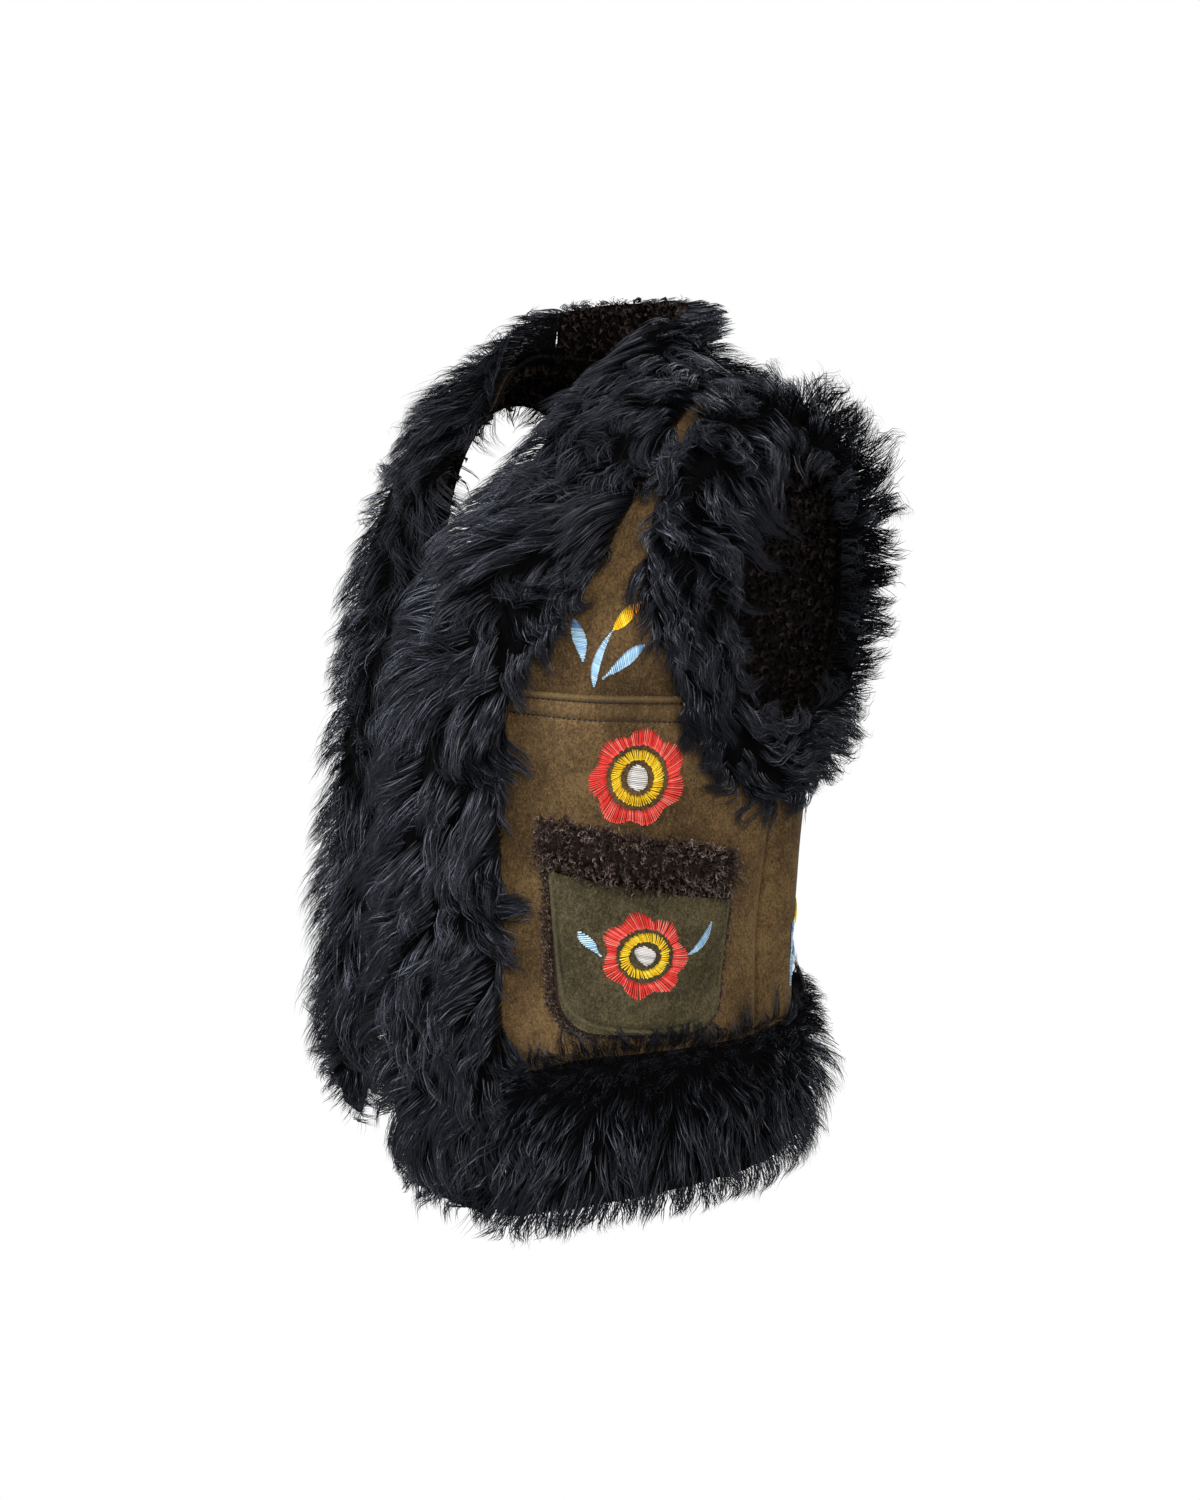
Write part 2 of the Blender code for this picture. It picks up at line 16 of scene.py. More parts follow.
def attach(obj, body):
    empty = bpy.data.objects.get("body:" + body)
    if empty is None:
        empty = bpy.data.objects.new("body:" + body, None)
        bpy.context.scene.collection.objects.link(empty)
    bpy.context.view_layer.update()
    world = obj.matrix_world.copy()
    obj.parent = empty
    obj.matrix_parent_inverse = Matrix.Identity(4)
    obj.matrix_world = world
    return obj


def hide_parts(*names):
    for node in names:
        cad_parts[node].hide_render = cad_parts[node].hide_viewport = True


bl_info = {
    "name": "Shearling Vest",
    "version": (1, 0, 0),
    "blender": (4, 5, 0),
    "location": "View3D > Sidebar > Vest",
    "description": "Makes the hide, fur, fleece, stitching and embroidery of a shearling vest",
    "category": "Object",
}

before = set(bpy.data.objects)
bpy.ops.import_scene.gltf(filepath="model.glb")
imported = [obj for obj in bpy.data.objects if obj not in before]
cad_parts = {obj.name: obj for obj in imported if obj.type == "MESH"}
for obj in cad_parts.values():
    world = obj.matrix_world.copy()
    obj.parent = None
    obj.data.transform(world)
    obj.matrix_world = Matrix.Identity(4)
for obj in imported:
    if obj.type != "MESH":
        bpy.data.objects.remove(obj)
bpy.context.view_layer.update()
BODY = "root"
SIDES = ("left", "right")
MM = 0.001

# Walls and the cut, the same as the solids have: levels and lengths in metres, places round it in degrees
HIDE = 0.003
LAP = 0.018
HIDE_HEM = -0.620
YOKE_SEAM = -0.238
UNDERARM = -0.272
SHOULDER_TIP = -0.046
NECK = 0.0
SIDE_SEAM = 98.0
HALF_FUR_SEAM = 1.2
FRONT_GAP = 0.0014
EDGE_INSET = 0.030
HOLE_CENTRE = 93.0
HOLE_HALF_WIDTH = 0.072
FRONT_BREAK = -0.255
FRONT_SLANT = 0.19

# The cloth's own side seam, in degrees: half the groove, and how far the back's edge runs on under the front
HALF_SEAM = 0.30
SEAM_LAP = 0.66

SECTION_COLUMNS = ("level", "front_z", "back_z", "half_width", "side_y", "front_y", "back_y", "power")
SECTIONS = (
    (-0.690, -0.704, -0.670, 0.229, 0.000, -0.182, 0.152, 2.30),
    (-0.600, -0.612, -0.588, 0.225, 0.000, -0.192, 0.147, 2.30),
    (-0.520, -0.526, -0.514, 0.218, 0.000, -0.201, 0.138, 2.30),
    (-0.430, -0.432, -0.428, 0.210, 0.000, -0.205, 0.130, 2.30),
    (-0.340, -0.342, -0.340, 0.209, 0.000, -0.204, 0.130, 2.30),
    (-0.270, -0.278, -0.270, 0.213, 0.002, -0.200, 0.136, 2.35),
    (-0.195, -0.218, -0.195, 0.215, 0.004, -0.191, 0.142, 2.40),
    (-0.120, -0.168, -0.125, 0.210, 0.004, -0.176, 0.138, 2.40),
    (-0.072, -0.136, -0.080, 0.202, 0.002, -0.162, 0.124, 2.40),
    (-0.040, -0.113, -0.045, 0.185, -0.004, -0.150, 0.100, 2.30),
    (-0.016, -0.095, -0.020, 0.146, -0.016, -0.137, 0.072, 2.15),
    (0.000, -0.080, 0.000, 0.090, -0.036, -0.124, 0.036, 2.00),
    (0.030, -0.056, 0.032, 0.079, -0.041, -0.118, 0.022, 2.00),
    (0.070, -0.020, 0.072, 0.077, -0.045, -0.120, 0.016, 2.00),
)

# Soft folds: the solids' own, then finer creases that only the cloth shows. A row is a fold's angle and
# level, half its width in degrees, half its height, and how far it stands out
FOLDS = (
    (98.0, -0.420, 8.0, 0.170, -0.0060),
    (-98.0, -0.420, 8.0, 0.170, -0.0050),
    (113.0, -0.430, 8.0, 0.150, 0.0050),
    (-114.0, -0.410, 8.0, 0.140, 0.0040),
    (84.0, -0.300, 10.0, 0.060, -0.0035),
    (-83.0, -0.305, 10.0, 0.065, -0.0035),
    (50.0, -0.280, 12.0, 0.060, 0.0030),
    (-48.0, -0.285, 12.0, 0.060, 0.0030),
    (142.0, -0.360, 11.0, 0.150, -0.0050),
    (165.0, -0.400, 10.0, 0.150, 0.0040),
    (-140.0, -0.370, 11.0, 0.150, -0.0050),
    (-168.0, -0.390, 9.0, 0.140, 0.0035),
)
CREASES = (
    (91.5, -0.372, 2.6, 0.060, 0.0022),
    (-91.0, -0.365, 2.6, 0.055, 0.0020),
    (94.5, -0.470, 2.2, 0.050, 0.0018),
    (104.5, -0.385, 4.0, 0.125, 0.0065),
    (109.5, -0.400, 3.0, 0.110, -0.0034),
    (107.0, -0.480, 3.0, 0.060, -0.0018),
    (-104.5, -0.380, 4.0, 0.120, 0.0060),
    (-109.5, -0.395, 3.0, 0.105, -0.0030),
    (86.0, -0.335, 3.0, 0.030, -0.0014),
    (40.0, -0.420, 3.0, 0.070, -0.0014),
    (-41.0, -0.410, 3.2, 0.065, -0.0014),
    (128.0, -0.440, 4.0, 0.080, 0.0018),
    (153.0, -0.460, 4.0, 0.070, -0.0016),
    (180.0, -0.330, 5.0, 0.090, -0.0020),
    (-152.0, -0.300, 5.0, 0.070, 0.0018),
    (-128.0, -0.450, 4.0, 0.080, 0.0018),
    (120.0, -0.250, 5.0, 0.060, -0.0020),
    (-121.0, -0.250, 5.0, 0.060, -0.0020),
)


def steady_slopes(at, values):
    """Slopes that keep a cubic through a table's rows from swinging past them."""
    steps = np.diff(at)
    rises = np.diff(values) / steps
    slopes = np.zeros(len(at))
    slopes[0], slopes[-1] = rises[0], rises[-1]
    for i in range(1, len(at) - 1):
        if rises[i - 1] * rises[i] > 0:
            before, after = 2 * steps[i] + steps[i - 1], steps[i] + 2 * steps[i - 1]
            slopes[i] = (before + after) / (before / rises[i - 1] + after / rises[i])
    return slopes


def cubic_shares(at, wanted):
    """The row below each wanted place, and the weights of a cubic's two rows and two slopes there."""
    i = np.clip(np.searchsorted(at, wanted) - 1, 0, len(at) - 2)
    step = at[i + 1] - at[i]
    t = (wanted - at[i]) / step
    low, low_slope = (1 + 2 * t) * (1 - t) ** 2, t * (1 - t) ** 2 * step
    high, high_slope = t * t * (3 - 2 * t), t * t * (t - 1) * step
    return i, (low, low_slope, high, high_slope)


def cubic(i, weights, values, slopes):
    low, low_slope, high, high_slope = weights
    return low * values[i] + low_slope * slopes[i] + high * values[i + 1] + high_slope * slopes[i + 1]


ROWS = np.array(SECTIONS)
LEVELS = ROWS[:, 0]
SLOPES = np.array([steady_slopes(LEVELS, ROWS[:, k]) for k in range(ROWS.shape[1])]).T


def between(low, high, share):
    return low + (high - low) * share


def bump(share):
    """A soft mound: 1 in the middle, 0 from share -1 and 1 outwards."""
    return np.where(np.abs(share) < 1, 0.5 + 0.5 * np.cos(np.pi * np.clip(share, -1, 1)), 0.0)


def smooth_step(share):
    share = np.clip(share, 0, 1)
    return share * share * (3 - 2 * share)


def crowded(share, amount):
    """Shares from 0 to 1 that crowd towards both ends."""
    return share - amount * np.sin(math.tau * share) / math.tau


def mound(place, millimetres, middle, half):
    """A relief of that height, round its middle and out to half on either side."""
    return millimetres * MM * bump((place - middle) / half)


def unit(vectors):
    return vectors / np.maximum(np.linalg.norm(vectors, axis=-1, keepdims=True), 1e-12)


def hide_point(angle, level):
    """Points of the hide's outer face."""
    angle, level = np.broadcast_arrays(np.asarray(angle, float), np.asarray(level, float))
    i, weights = cubic_shares(LEVELS, level)
    ring = {name: cubic(i, weights, ROWS[:, k], SLOPES[:, k]) for k, name in enumerate(SECTION_COLUMNS)}
    turn = np.radians(angle)
    sine = np.sign(np.sin(turn)) * np.abs(np.sin(turn)) ** (2 / ring["power"])
    cosine = np.abs(np.cos(turn)) ** (2 / ring["power"])
    forwards = np.cos(turn) > 0
    far_y = np.where(forwards, ring["front_y"], ring["back_y"])
    far_z = np.where(forwards, ring["front_z"], ring["back_z"])
    x = ring["half_width"] * sine
    y = between(ring["side_y"], far_y, cosine)
    z = between(level, far_z, np.cos(turn) ** 2)
    push = np.zeros_like(x)
    for fold_angle, fold_level, half_angle, half_height, height in FOLDS + CREASES:
        off = (angle - fold_angle + 180) % 360 - 180
        push += height * bump(off / half_angle) * bump((level - fold_level) / half_height)
    return np.stack((x + push * np.sin(turn), y - push * np.cos(turn), z), axis=-1)


def hide_normal(angle, level):
    """Directions out of the hide, from steps of a degree and of 2 mm either way."""
    degree, rise = 1.0, 2.0 * MM
    round_it = hide_point(angle + degree, level) - hide_point(angle - degree, level)
    up = hide_point(angle, level + rise) - hide_point(angle, level - rise)
    return unit(np.cross(round_it, up))


def off_hide(angle, level, out):
    """Points that stand off the hide's outer face by out."""
    return hide_point(angle, level) + np.asarray(out)[..., None] * hide_normal(angle, level)


# Distances round each ring and up the hide, looked up in both directions
RING_LEVELS = np.linspace(-0.70, 0.08, 157)
RING_ANGLES = np.arange(181.0)
RING_METRES = np.linspace(0.0, 0.66, 331)


def lengths_round_rings():
    points = hide_point(RING_ANGLES[None, :], RING_LEVELS[:, None])
    steps = np.linalg.norm(np.diff(points, axis=1), axis=2)
    return np.concatenate([np.zeros((len(RING_LEVELS), 1)), np.cumsum(steps, axis=1)], axis=1)


RING_LENGTHS = lengths_round_rings()
RING_ANGLES_AT = np.array([np.interp(RING_METRES, row, RING_ANGLES) for row in RING_LENGTHS])
CLIMB_LEVELS = np.linspace(SECTIONS[0][0], SECTIONS[-1][0], 400)
CLIMB_STEPS = np.linalg.norm(np.diff(hide_point(90.0, CLIMB_LEVELS), axis=0), axis=1)
CLIMBS = np.concatenate([[0.0], np.cumsum(CLIMB_STEPS)])


def look_up(table, rows, columns, row, column):
    """The value of an evenly spaced table at any place, from the four values round it."""
    at_row = np.clip((row - rows[0]) / (rows[1] - rows[0]), 0, len(rows) - 1.001)
    at_column = np.clip((column - columns[0]) / (columns[1] - columns[0]), 0, len(columns) - 1.001)
    i, j = at_row.astype(int), at_column.astype(int)
    u, v = at_row - i, at_column - j
    low = between(table[i, j], table[i, j + 1], v)
    high = between(table[i + 1, j], table[i + 1, j + 1], v)
    return between(low, high, u)


def angle_from_front(level, metres):
    """The angle of the place that lies metres round the ring from the centre front."""
    level, metres = np.broadcast_arrays(np.asarray(level, float), np.asarray(metres, float))
    return np.sign(metres) * look_up(RING_ANGLES_AT, RING_LEVELS, RING_METRES, level, np.abs(metres))


def metres_from_front(level, angle):
    level, angle = np.broadcast_arrays(np.asarray(level, float), np.asarray(angle, float))
    return look_up(RING_LENGTHS, RING_LEVELS, RING_ANGLES, level, angle)


def angle_from_side(level, metres):
    """The angle of the place that lies metres behind the armhole's middle, round the ring."""
    return angle_from_front(level, metres_from_front(level, HOLE_CENTRE) + metres)


def climb_to(level):
    return np.interp(level, CLIMB_LEVELS, CLIMBS)


def level_up(level, metres):
    """The level that lies metres farther up the hide at the wearer's side."""
    return np.interp(climb_to(level) + metres, CLIMBS, CLIMB_LEVELS)


def front_edge(level):
    """The angle of a front's free edge, which slants away from the other above the break of the front."""
    return angle_from_front(level, EDGE_INSET + FRONT_SLANT * np.maximum(0.0, level - FRONT_BREAK))


def side_edge(level, towards_front):
    """The angle where a front or the back ends: at the side seam, the armhole or the shoulder seam."""
    sign = -1 if towards_front else 1
    seam = SIDE_SEAM + sign * HALF_SEAM
    low, high = climb_to(UNDERARM), climb_to(SHOULDER_TIP)
    share = (2 * climb_to(level) - low - high) / (high - low)
    half = HOLE_HALF_WIDTH * np.sqrt(np.maximum(0.0, 1 - share * share))
    edge = angle_from_side(level, sign * half)
    edge = np.minimum(edge, seam) if towards_front else np.maximum(edge, seam)
    return np.where(half > 0, edge, seam)


# Blender helpers


def deselect():
    for thing in bpy.context.selected_objects:
        thing.select_set(False)


def linear(code):
    """An sRGB hex value as linear colour."""
    values = [int(code[i : i + 2], 16) / 255 for i in (1, 3, 5)]
    return tuple(v / 12.92 if v <= 0.04045 else ((v + 0.055) / 1.055) ** 2.4 for v in values)


def opaque(code):
    return (*linear(code), 1.0)


def feed(tree, node, inputs):
    """Gives each named input of a node its value, or the socket that feeds it."""
    for name, value in inputs.items():
        if isinstance(value, bpy.types.NodeSocket):
            tree.links.new(value, node.inputs[name])
        else:
            node.inputs[name].default_value = value


def add_node(tree, kind, inputs=None, **settings):
    """Adds a node with its settings and inputs."""
    node = tree.nodes.new(kind)
    for name, value in settings.items():
        setattr(node, name, value)
    feed(tree, node, inputs or {})
    return node


def ramp(tree, share, stops):
    """A colour ramp with the given stops, each a place and a hex colour."""
    node = add_node(tree, "ShaderNodeValToRGB", {"Fac": share})
    elements = node.color_ramp.elements
    while len(elements) < len(stops):
        elements.new(0.5)
    for element, (place, code) in zip(elements, stops):
        element.position = place
        element.color = opaque(code)
    return node.outputs["Color"]


def noise(tree, place, millimetres, detail, roughness=0.5, distortion=0.0):
    """Noise whose spots are about that many millimetres across."""
    inputs = {"Vector": place, "Scale": 1000.0 / millimetres, "Detail": detail}
    inputs |= {"Roughness": roughness, "Distortion": distortion}
    return add_node(tree, "ShaderNodeTexNoise", inputs).outputs["Fac"]


def maths(tree, operation, first, second):
    return add_node(tree, "ShaderNodeMath", {0: first, 1: second}, operation=operation).outputs[0]


def relief_of(tree, height, strength, distance):
    """The normal of a surface with that relief."""
    inputs = {"Height": height, "Strength": strength, "Distance": distance}
    return add_node(tree, "ShaderNodeBump", inputs).outputs["Normal"]


def attribute(tree, name):
    return add_node(tree, "ShaderNodeAttribute", attribute_name=name).outputs["Fac"]


def object_place(tree):
    return add_node(tree, "ShaderNodeTexCoord").outputs["Object"]


def new_material(name):
    """An empty material with a Principled shader, and the tree that it is in."""
    made = bpy.data.materials.new(name)
    made.use_nodes = True
    return made, made.node_tree, made.node_tree.nodes["Principled BSDF"]


SUEDE_CODES = ("_shade", "", "_light", "_edge")


def suede_material(name, colours, part):
    """Suede, the flesh side of a sheepskin, buffed: matt, mottled where the nap was brushed two ways."""
    made, tree, shader = new_material(name)
    shade, main_code, light, edge = (getattr(colours, part + which) for which in SUEDE_CODES)
    place = object_place(tree)
    brushing = add_node(tree, "ShaderNodeMapping", {"Vector": place, "Scale": (1.0, 1.0, 0.72)})
    brushed = brushing.outputs["Vector"]
    patches, streaks = noise(tree, place, 55, 3.0), noise(tree, brushed, 7, 4.0, 0.6)
    # The nap's tufts are about 0.3 mm; they are drawn at 1.6 mm so that the grain shows
    nap = noise(tree, brushed, 1.6, 4.0, 0.65, 0.8)
    fine = noise(tree, place, 0.8, 2.0)
    scaled = [maths(tree, "MULTIPLY", *pair) for pair in ((patches, 0.30), (streaks, 0.16), (nap, 0.54))]
    mottle = maths(tree, "ADD", maths(tree, "ADD", scaled[0], scaled[1]), scaled[2])
    colour = ramp(tree, mottle, ((0.41, shade), (0.50, main_code), (0.59, light)))
    # The edge colour is mixed in where a seam's welt is rubbed, and as a painted highlight on the ridge beside
    # the side seam
    rubbed = {"Factor": attribute(tree, "wear_and_highlight"), "A": colour, "B": opaque(edge)}
    worn_and_highlit = add_node(tree, "ShaderNodeMix", rubbed, data_type="RGBA").outputs["Result"]
    looks = {
        "Base Color": worn_and_highlit,
        "Normal": relief_of(tree, maths(tree, "ADD", nap, fine), 0.8, 0.0007),
        "Roughness": 0.92,
        "Specular IOR Level": 0.15,
        "Sheen Weight": 0.22,
        "Sheen Roughness": 0.55,
        "Sheen Tint": opaque(edge),
    }
    feed(tree, shader, looks)
    return made


def hair_material(name, stops, roughness, specular, sheen, sheen_code):
    """Dyed sheep's hair: near-black keratin, with a soft cool shine where the locks roll over."""
    made, tree, shader = new_material(name)
    looks = {
        "Base Color": ramp(tree, attribute(tree, "tone"), stops),
        "Roughness": roughness,
        "IOR": 1.55,
        "Specular IOR Level": specular,
        "Specular Tint": opaque(sheen_code),
        "Sheen Weight": sheen,
        "Sheen Roughness": 0.4,
        "Sheen Tint": opaque(sheen_code),
    }
    feed(tree, shader, looks)
    return made


def thread_material(name, code, shade_code, light_code):
    """Stranded embroidery cotton: a soft lustre, and each strand a little lighter or darker."""
    made, tree, shader = new_material(name)
    stops = ((0.0, shade_code), (0.6, code), (1.0, light_code))
    looks = {
        "Base Color": ramp(tree, attribute(tree, "tone"), stops),
        "Roughness": 0.42,
        "Specular IOR Level": 0.4,
        "Sheen Weight": 0.15,
        "Sheen Tint": opaque(light_code),
    }
    feed(tree, shader, looks)
    return made


def wool_skin_material(name, code):
    """The wool side of the hide between its tufts: dark, soft and without shine."""
    made, tree, shader = new_material(name)
    curls = noise(tree, object_place(tree), 4, 4.0)
    looks = {
        "Base Color": ramp(tree, curls, ((0.35, "#030303"), (0.75, code))),
        "Normal": relief_of(tree, curls, 0.8, 0.002),
        "Roughness": 0.95,
        "Specular IOR Level": 0.05,
    }
    feed(tree, shader, looks)
    return made


def make_finishes(colours):
    """Every finish of the vest, by its name. Stops run from a strand's root to its tip."""
    fur = ((0.0, "#030304"), (0.5, colours.fur), (1.0, colours.fur_tip))
    # The fleece's light tip colour is a painted highlight on the ends of the curls
    fleece = ((0.0, "#100c0b"), (0.5, colours.fleece), (1.0, colours.fleece_highlight_tip))
    wool = ((0.0, "#0a0807"), (0.5, "#1c1613"), (1.0, "#352c28"))
    return {
        "olive_suede": suede_material("buffed_olive_suede", colours, "suede"),
        "pocket_suede": suede_material("buffed_dark_suede", colours, "pocket"),
        "fur": hair_material("dyed_long_sheep_hair", fur, 0.40, 0.38, 0.05, colours.fur_shine),
        "fleece": hair_material("dyed_curly_fleece", fleece, 0.70, 0.25, 0.12, colours.fleece_highlight_tip),
        "inner_wool": hair_material("dyed_short_wool", wool, 0.75, 0.20, 0.06, colours.fleece_highlight_tip),
        "wool_skin": wool_skin_material("short_wool_ground", "#15100e"),
        "underwool": wool_skin_material("black_underwool", "#050506"),
        "red": thread_material("red_cotton", colours.red, "#b01713", "#ff9080"),
        "yellow": thread_material("yellow_cotton", colours.yellow, "#d49600", "#ffec50"),
        "orange": thread_material("orange_cotton", colours.orange, "#dc7c08", "#ffb030"),
        "white": thread_material("white_cotton", colours.white, "#8f8b86", "#f9f7f4"),
        "blue": thread_material("light_blue_cotton", colours.blue, "#6f9dc0", "#dcf1fb"),
        "deep_blue": thread_material("mid_blue_cotton", colours.deep_blue, "#34598c", "#86b0e0"),
        "seam_thread": thread_material("dark_seam_thread", "#120d07", "#080603", "#1d170e"),
    }


def code_property(name, description, default):
    return bpy.props.StringProperty(name=name, description=description, default=default, maxlen=7)


class VestColours(bpy.types.PropertyGroup):
    """The vest's colours, as sRGB hex values."""

    suede: code_property("Suede", "Main colour of the hide", "#544129")
    suede_shade: code_property("Suede shade", "Where the nap lies away from the light", "#372a18")
    suede_light: code_property("Suede light", "Where the nap is brushed up", "#725b3a")
    # The edge colour is also a painted highlight on the ridge beside the side seam
    suede_edge: code_property("Suede edge", "Rubbed ridges of the seams", "#776343")
    pocket: code_property("Pocket suede", "Main colour of the pockets", "#423b28")
    pocket_shade: code_property("Pocket shade", "Darkest nap of the pockets", "#2b2618")
    pocket_light: code_property("Pocket light", "Lightest nap of the pockets", "#5f563c")
    pocket_edge: code_property("Pocket edge", "Turned edge round the pockets", "#66644a")
    fur: code_property("Fur", "Long hair", "#060709")
    fur_tip: code_property("Fur tips", "Ends of the long hair", "#121318")
    fur_shine: code_property("Fur shine", "Cool shine of the hair", "#cfd3e2")
    fleece: code_property("Fleece", "Curly fleece of cuffs and pile", "#43362f")
    # The light ends of the curls are a painted highlight
    fleece_highlight_tip: code_property("Fleece tips", "Ends of the curls", "#85766f")
    red: code_property("Red thread", "Outer ring of the flowers", "#fb4036")
    yellow: code_property("Yellow thread", "Inner ring of the flowers", "#ffcf0a")
    orange: code_property("Orange thread", "Tip of the bud", "#f59a0a")
    white: code_property("White thread", "Heart of the flowers", "#e9e5e0")
    blue: code_property("Blue thread", "Leaves and stems", "#b0daf4")
    deep_blue: code_property("Deep blue thread", "Tips of the leaves", "#7099c2")


def length_property(name, description, default):
    return bpy.props.FloatProperty(
        name=name, description=description, default=default, min=0.0, unit="LENGTH", precision=5
    )


class VestSizes(bpy.types.PropertyGroup):
    """Sizes that a user would change."""

    hair_width: length_property("Hair width", "Width of one strand of long fur", 0.00076)
    hair_spacing: length_property("Hair spacing", "Distance between the strands' roots", 0.0024)
    curl_width: length_property("Curl width", "Width of one strand of curly fleece", 0.0012)
    curl_spacing: length_property("Curl spacing", "Distance between the curls' roots", 0.0019)
    thread_width: length_property("Thread width", "Width of one embroidery strand", 0.00140)
    stitch_pitch: length_property("Stitch pitch", "From one seam stitch to the next", 0.0041)
    chest_flower: length_property("Chest flower", "Mean radius of the chest flower", 0.0380)
    pocket_flower: length_property("Pocket flower", "Mean radius of the pocket flower", 0.0331)


def sizes():
    return bpy.context.scene.vest_sizes


def finish(name):
    """A finish by its name. All of them are made the first time that one is asked for."""
    made = bpy.context.scene.get("vest_finishes")
    if made is None:
        found = make_finishes(bpy.context.scene.vest_colours)
        bpy.context.scene["vest_finishes"] = {key: value.name for key, value in found.items()}
        made = bpy.context.scene["vest_finishes"]
    return bpy.data.materials[made[name]]


def settle(piece, slot_name, *nodes):
    """Lets a piece ride on the body and hides the solids that it stands for. Its slot name is not used."""
    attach(piece, BODY)
    if nodes:
        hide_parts(*nodes)
    return piece


def set_attribute(mesh, name, values):
    attribute = mesh.attributes.new(name, "FLOAT", "POINT")
    attribute.data.foreach_set("value", np.ascontiguousarray(values, np.float32))


def joined_mesh(name, shapes, finishes):
    """One piece from many small shapes: each has its points, lists of corners, tones and finish."""
    points, starts, loops, tones, slots, count, corners = [], [], [], [], [], 0, 0
    for shape_points, corner_lists, shape_tones, finish_number in shapes:
        for corner_list in corner_lists:
            flat = np.asarray(corner_list, np.int64)
            starts.append(corners + np.arange(len(flat)) * flat.shape[1])
            loops.append(flat.ravel() + count)
            slots.append(np.full(len(flat), finish_number))
            corners += flat.size
        points.append(np.asarray(shape_points).reshape(-1, 3))
        tones.append(np.broadcast_to(shape_tones, len(points[-1])))
        count += len(points[-1])
    mesh = bpy.data.meshes.new(name)
    mesh.vertices.add(count)
    mesh.vertices.foreach_set("co", np.concatenate(points).astype(np.float32).ravel())
    mesh.loops.add(corners)
    mesh.loops.foreach_set("vertex_index", np.concatenate(loops).astype(np.int32))
    mesh.polygons.add(sum(len(s) for s in starts))
    mesh.polygons.foreach_set("loop_start", np.concatenate(starts).astype(np.int32))
    for finish_name in finishes:
        mesh.materials.append(finish(finish_name))
    mesh.polygons.foreach_set("material_index", np.concatenate(slots).astype(np.int32))
    mesh.update(calc_edges=True)
    mesh.validate()
    set_attribute(mesh, "tone", np.concatenate(tones))
    mesh.shade_smooth()
    piece = bpy.data.objects.new(name, mesh)
    bpy.context.scene.collection.objects.link(piece)
    return piece


SMOOTH_BELOW = math.radians(50)


def cloth(name, columns, rows, place, wall, finish_names):
    """A sheet with its wall inside: a grid that place(across, up) puts in place and gives its wear and painted
    highlight.
    """
    deselect()
    bpy.ops.mesh.primitive_grid_add(x_subdivisions=columns, y_subdivisions=rows, size=1.0)
    piece = bpy.context.active_object
    piece.name = piece.data.name = name
    mesh = piece.data
    flat = np.empty(len(mesh.vertices) * 3, np.float32)
    mesh.vertices.foreach_get("co", flat)
    flat = flat.reshape(-1, 3).astype(float)
    points, wear_and_highlight = place(flat[:, 0] + 0.5, flat[:, 1] + 0.5)
    mesh.vertices.foreach_set("co", points.astype(np.float32).ravel())
    set_attribute(mesh, "wear_and_highlight", np.broadcast_to(wear_and_highlight, len(flat)))
    for finish_name in finish_names:
        mesh.materials.append(finish(finish_name))
    thicken = piece.modifiers.new("wall", "SOLIDIFY")
    thicken.thickness = wall
    thicken.offset = -1.0
    thicken.use_even_offset = True
    thicken.material_offset = thicken.material_offset_rim = len(finish_names) - 1
    bpy.ops.object.modifier_apply(modifier="wall")
    bpy.ops.object.shade_smooth_by_angle(angle=SMOOTH_BELOW)
    return piece


# The hide panels

YOKE_SINK = 0.0034
TOP_STITCH = 0.0062
SECOND_STITCH = 0.0210
STITCH_PULL = 2.0 * MM


def levels_over(low, high, share, thick_end=0.0):
    """Levels from low to high, evenly far apart up the hide, or closer together near the high end."""
    warped = share + thick_end * share * (1 - share)
    return np.interp(between(climb_to(low), climb_to(high), warped), CLIMBS, CLIMB_LEVELS)


def seam_relief(depth):
    """The seam under the yoke, by depth below it: a rolled edge, then two rows of stitches pulled in."""
    roll = 0.9 * MM * np.sin(np.pi * np.clip(depth / TOP_STITCH, 0, 1)) ** 0.5
    first = mound(depth, -1.3, TOP_STITCH, STITCH_PULL)
    share = np.clip((depth - TOP_STITCH) / (SECOND_STITCH - TOP_STITCH), 0, 1)
    puff = 0.45 * MM * np.sin(np.pi * share)
    second = mound(depth, -1.2, SECOND_STITCH, STITCH_PULL)
    return roll + first + puff + second


def side_roll(angle):
    """The relief at the side seam: both edges swell and turn in, the back's running on under the front's."""
    before = SIDE_SEAM - np.abs(angle)
    turned_in = 2.2 * MM * np.clip(1 - (before - HALF_SEAM) / 1.2, 0, 1) ** 2
    run_under = 5.0 * MM * (1 - smooth_step(-(before + 0.05) / 0.9))
    front, back = mound(before, 2.0, 3.0, 2.6) - turned_in, mound(before, 1.0, -1.8, 1.6) - run_under
    return np.where(before > 0.9 * HALF_SEAM, front, back)


def yoke_sink(level):
    """How far the yoke's foot is sunk under the lower front's top edge."""
    return -YOKE_SINK * np.clip((YOKE_SEAM + LAP - level) / (LAP - 0.002), 0, 1)


def mirrored(angle, wearer_side):
    return angle if wearer_side == "left" else -angle


def face_out(wearer_side, share):
    """The share across, counted so that the sheet faces out on either side of the body."""
    return share if wearer_side == "left" else 1 - share


def panel_relief(angle, level):
    """How far a front's outer face stands off the plain hide, at the seams."""
    below = climb_to(YOKE_SEAM) - climb_to(level)
    seam = np.where(below >= 0, seam_relief(np.maximum(below, 0)), yoke_sink(level))
    return seam + side_roll(angle)


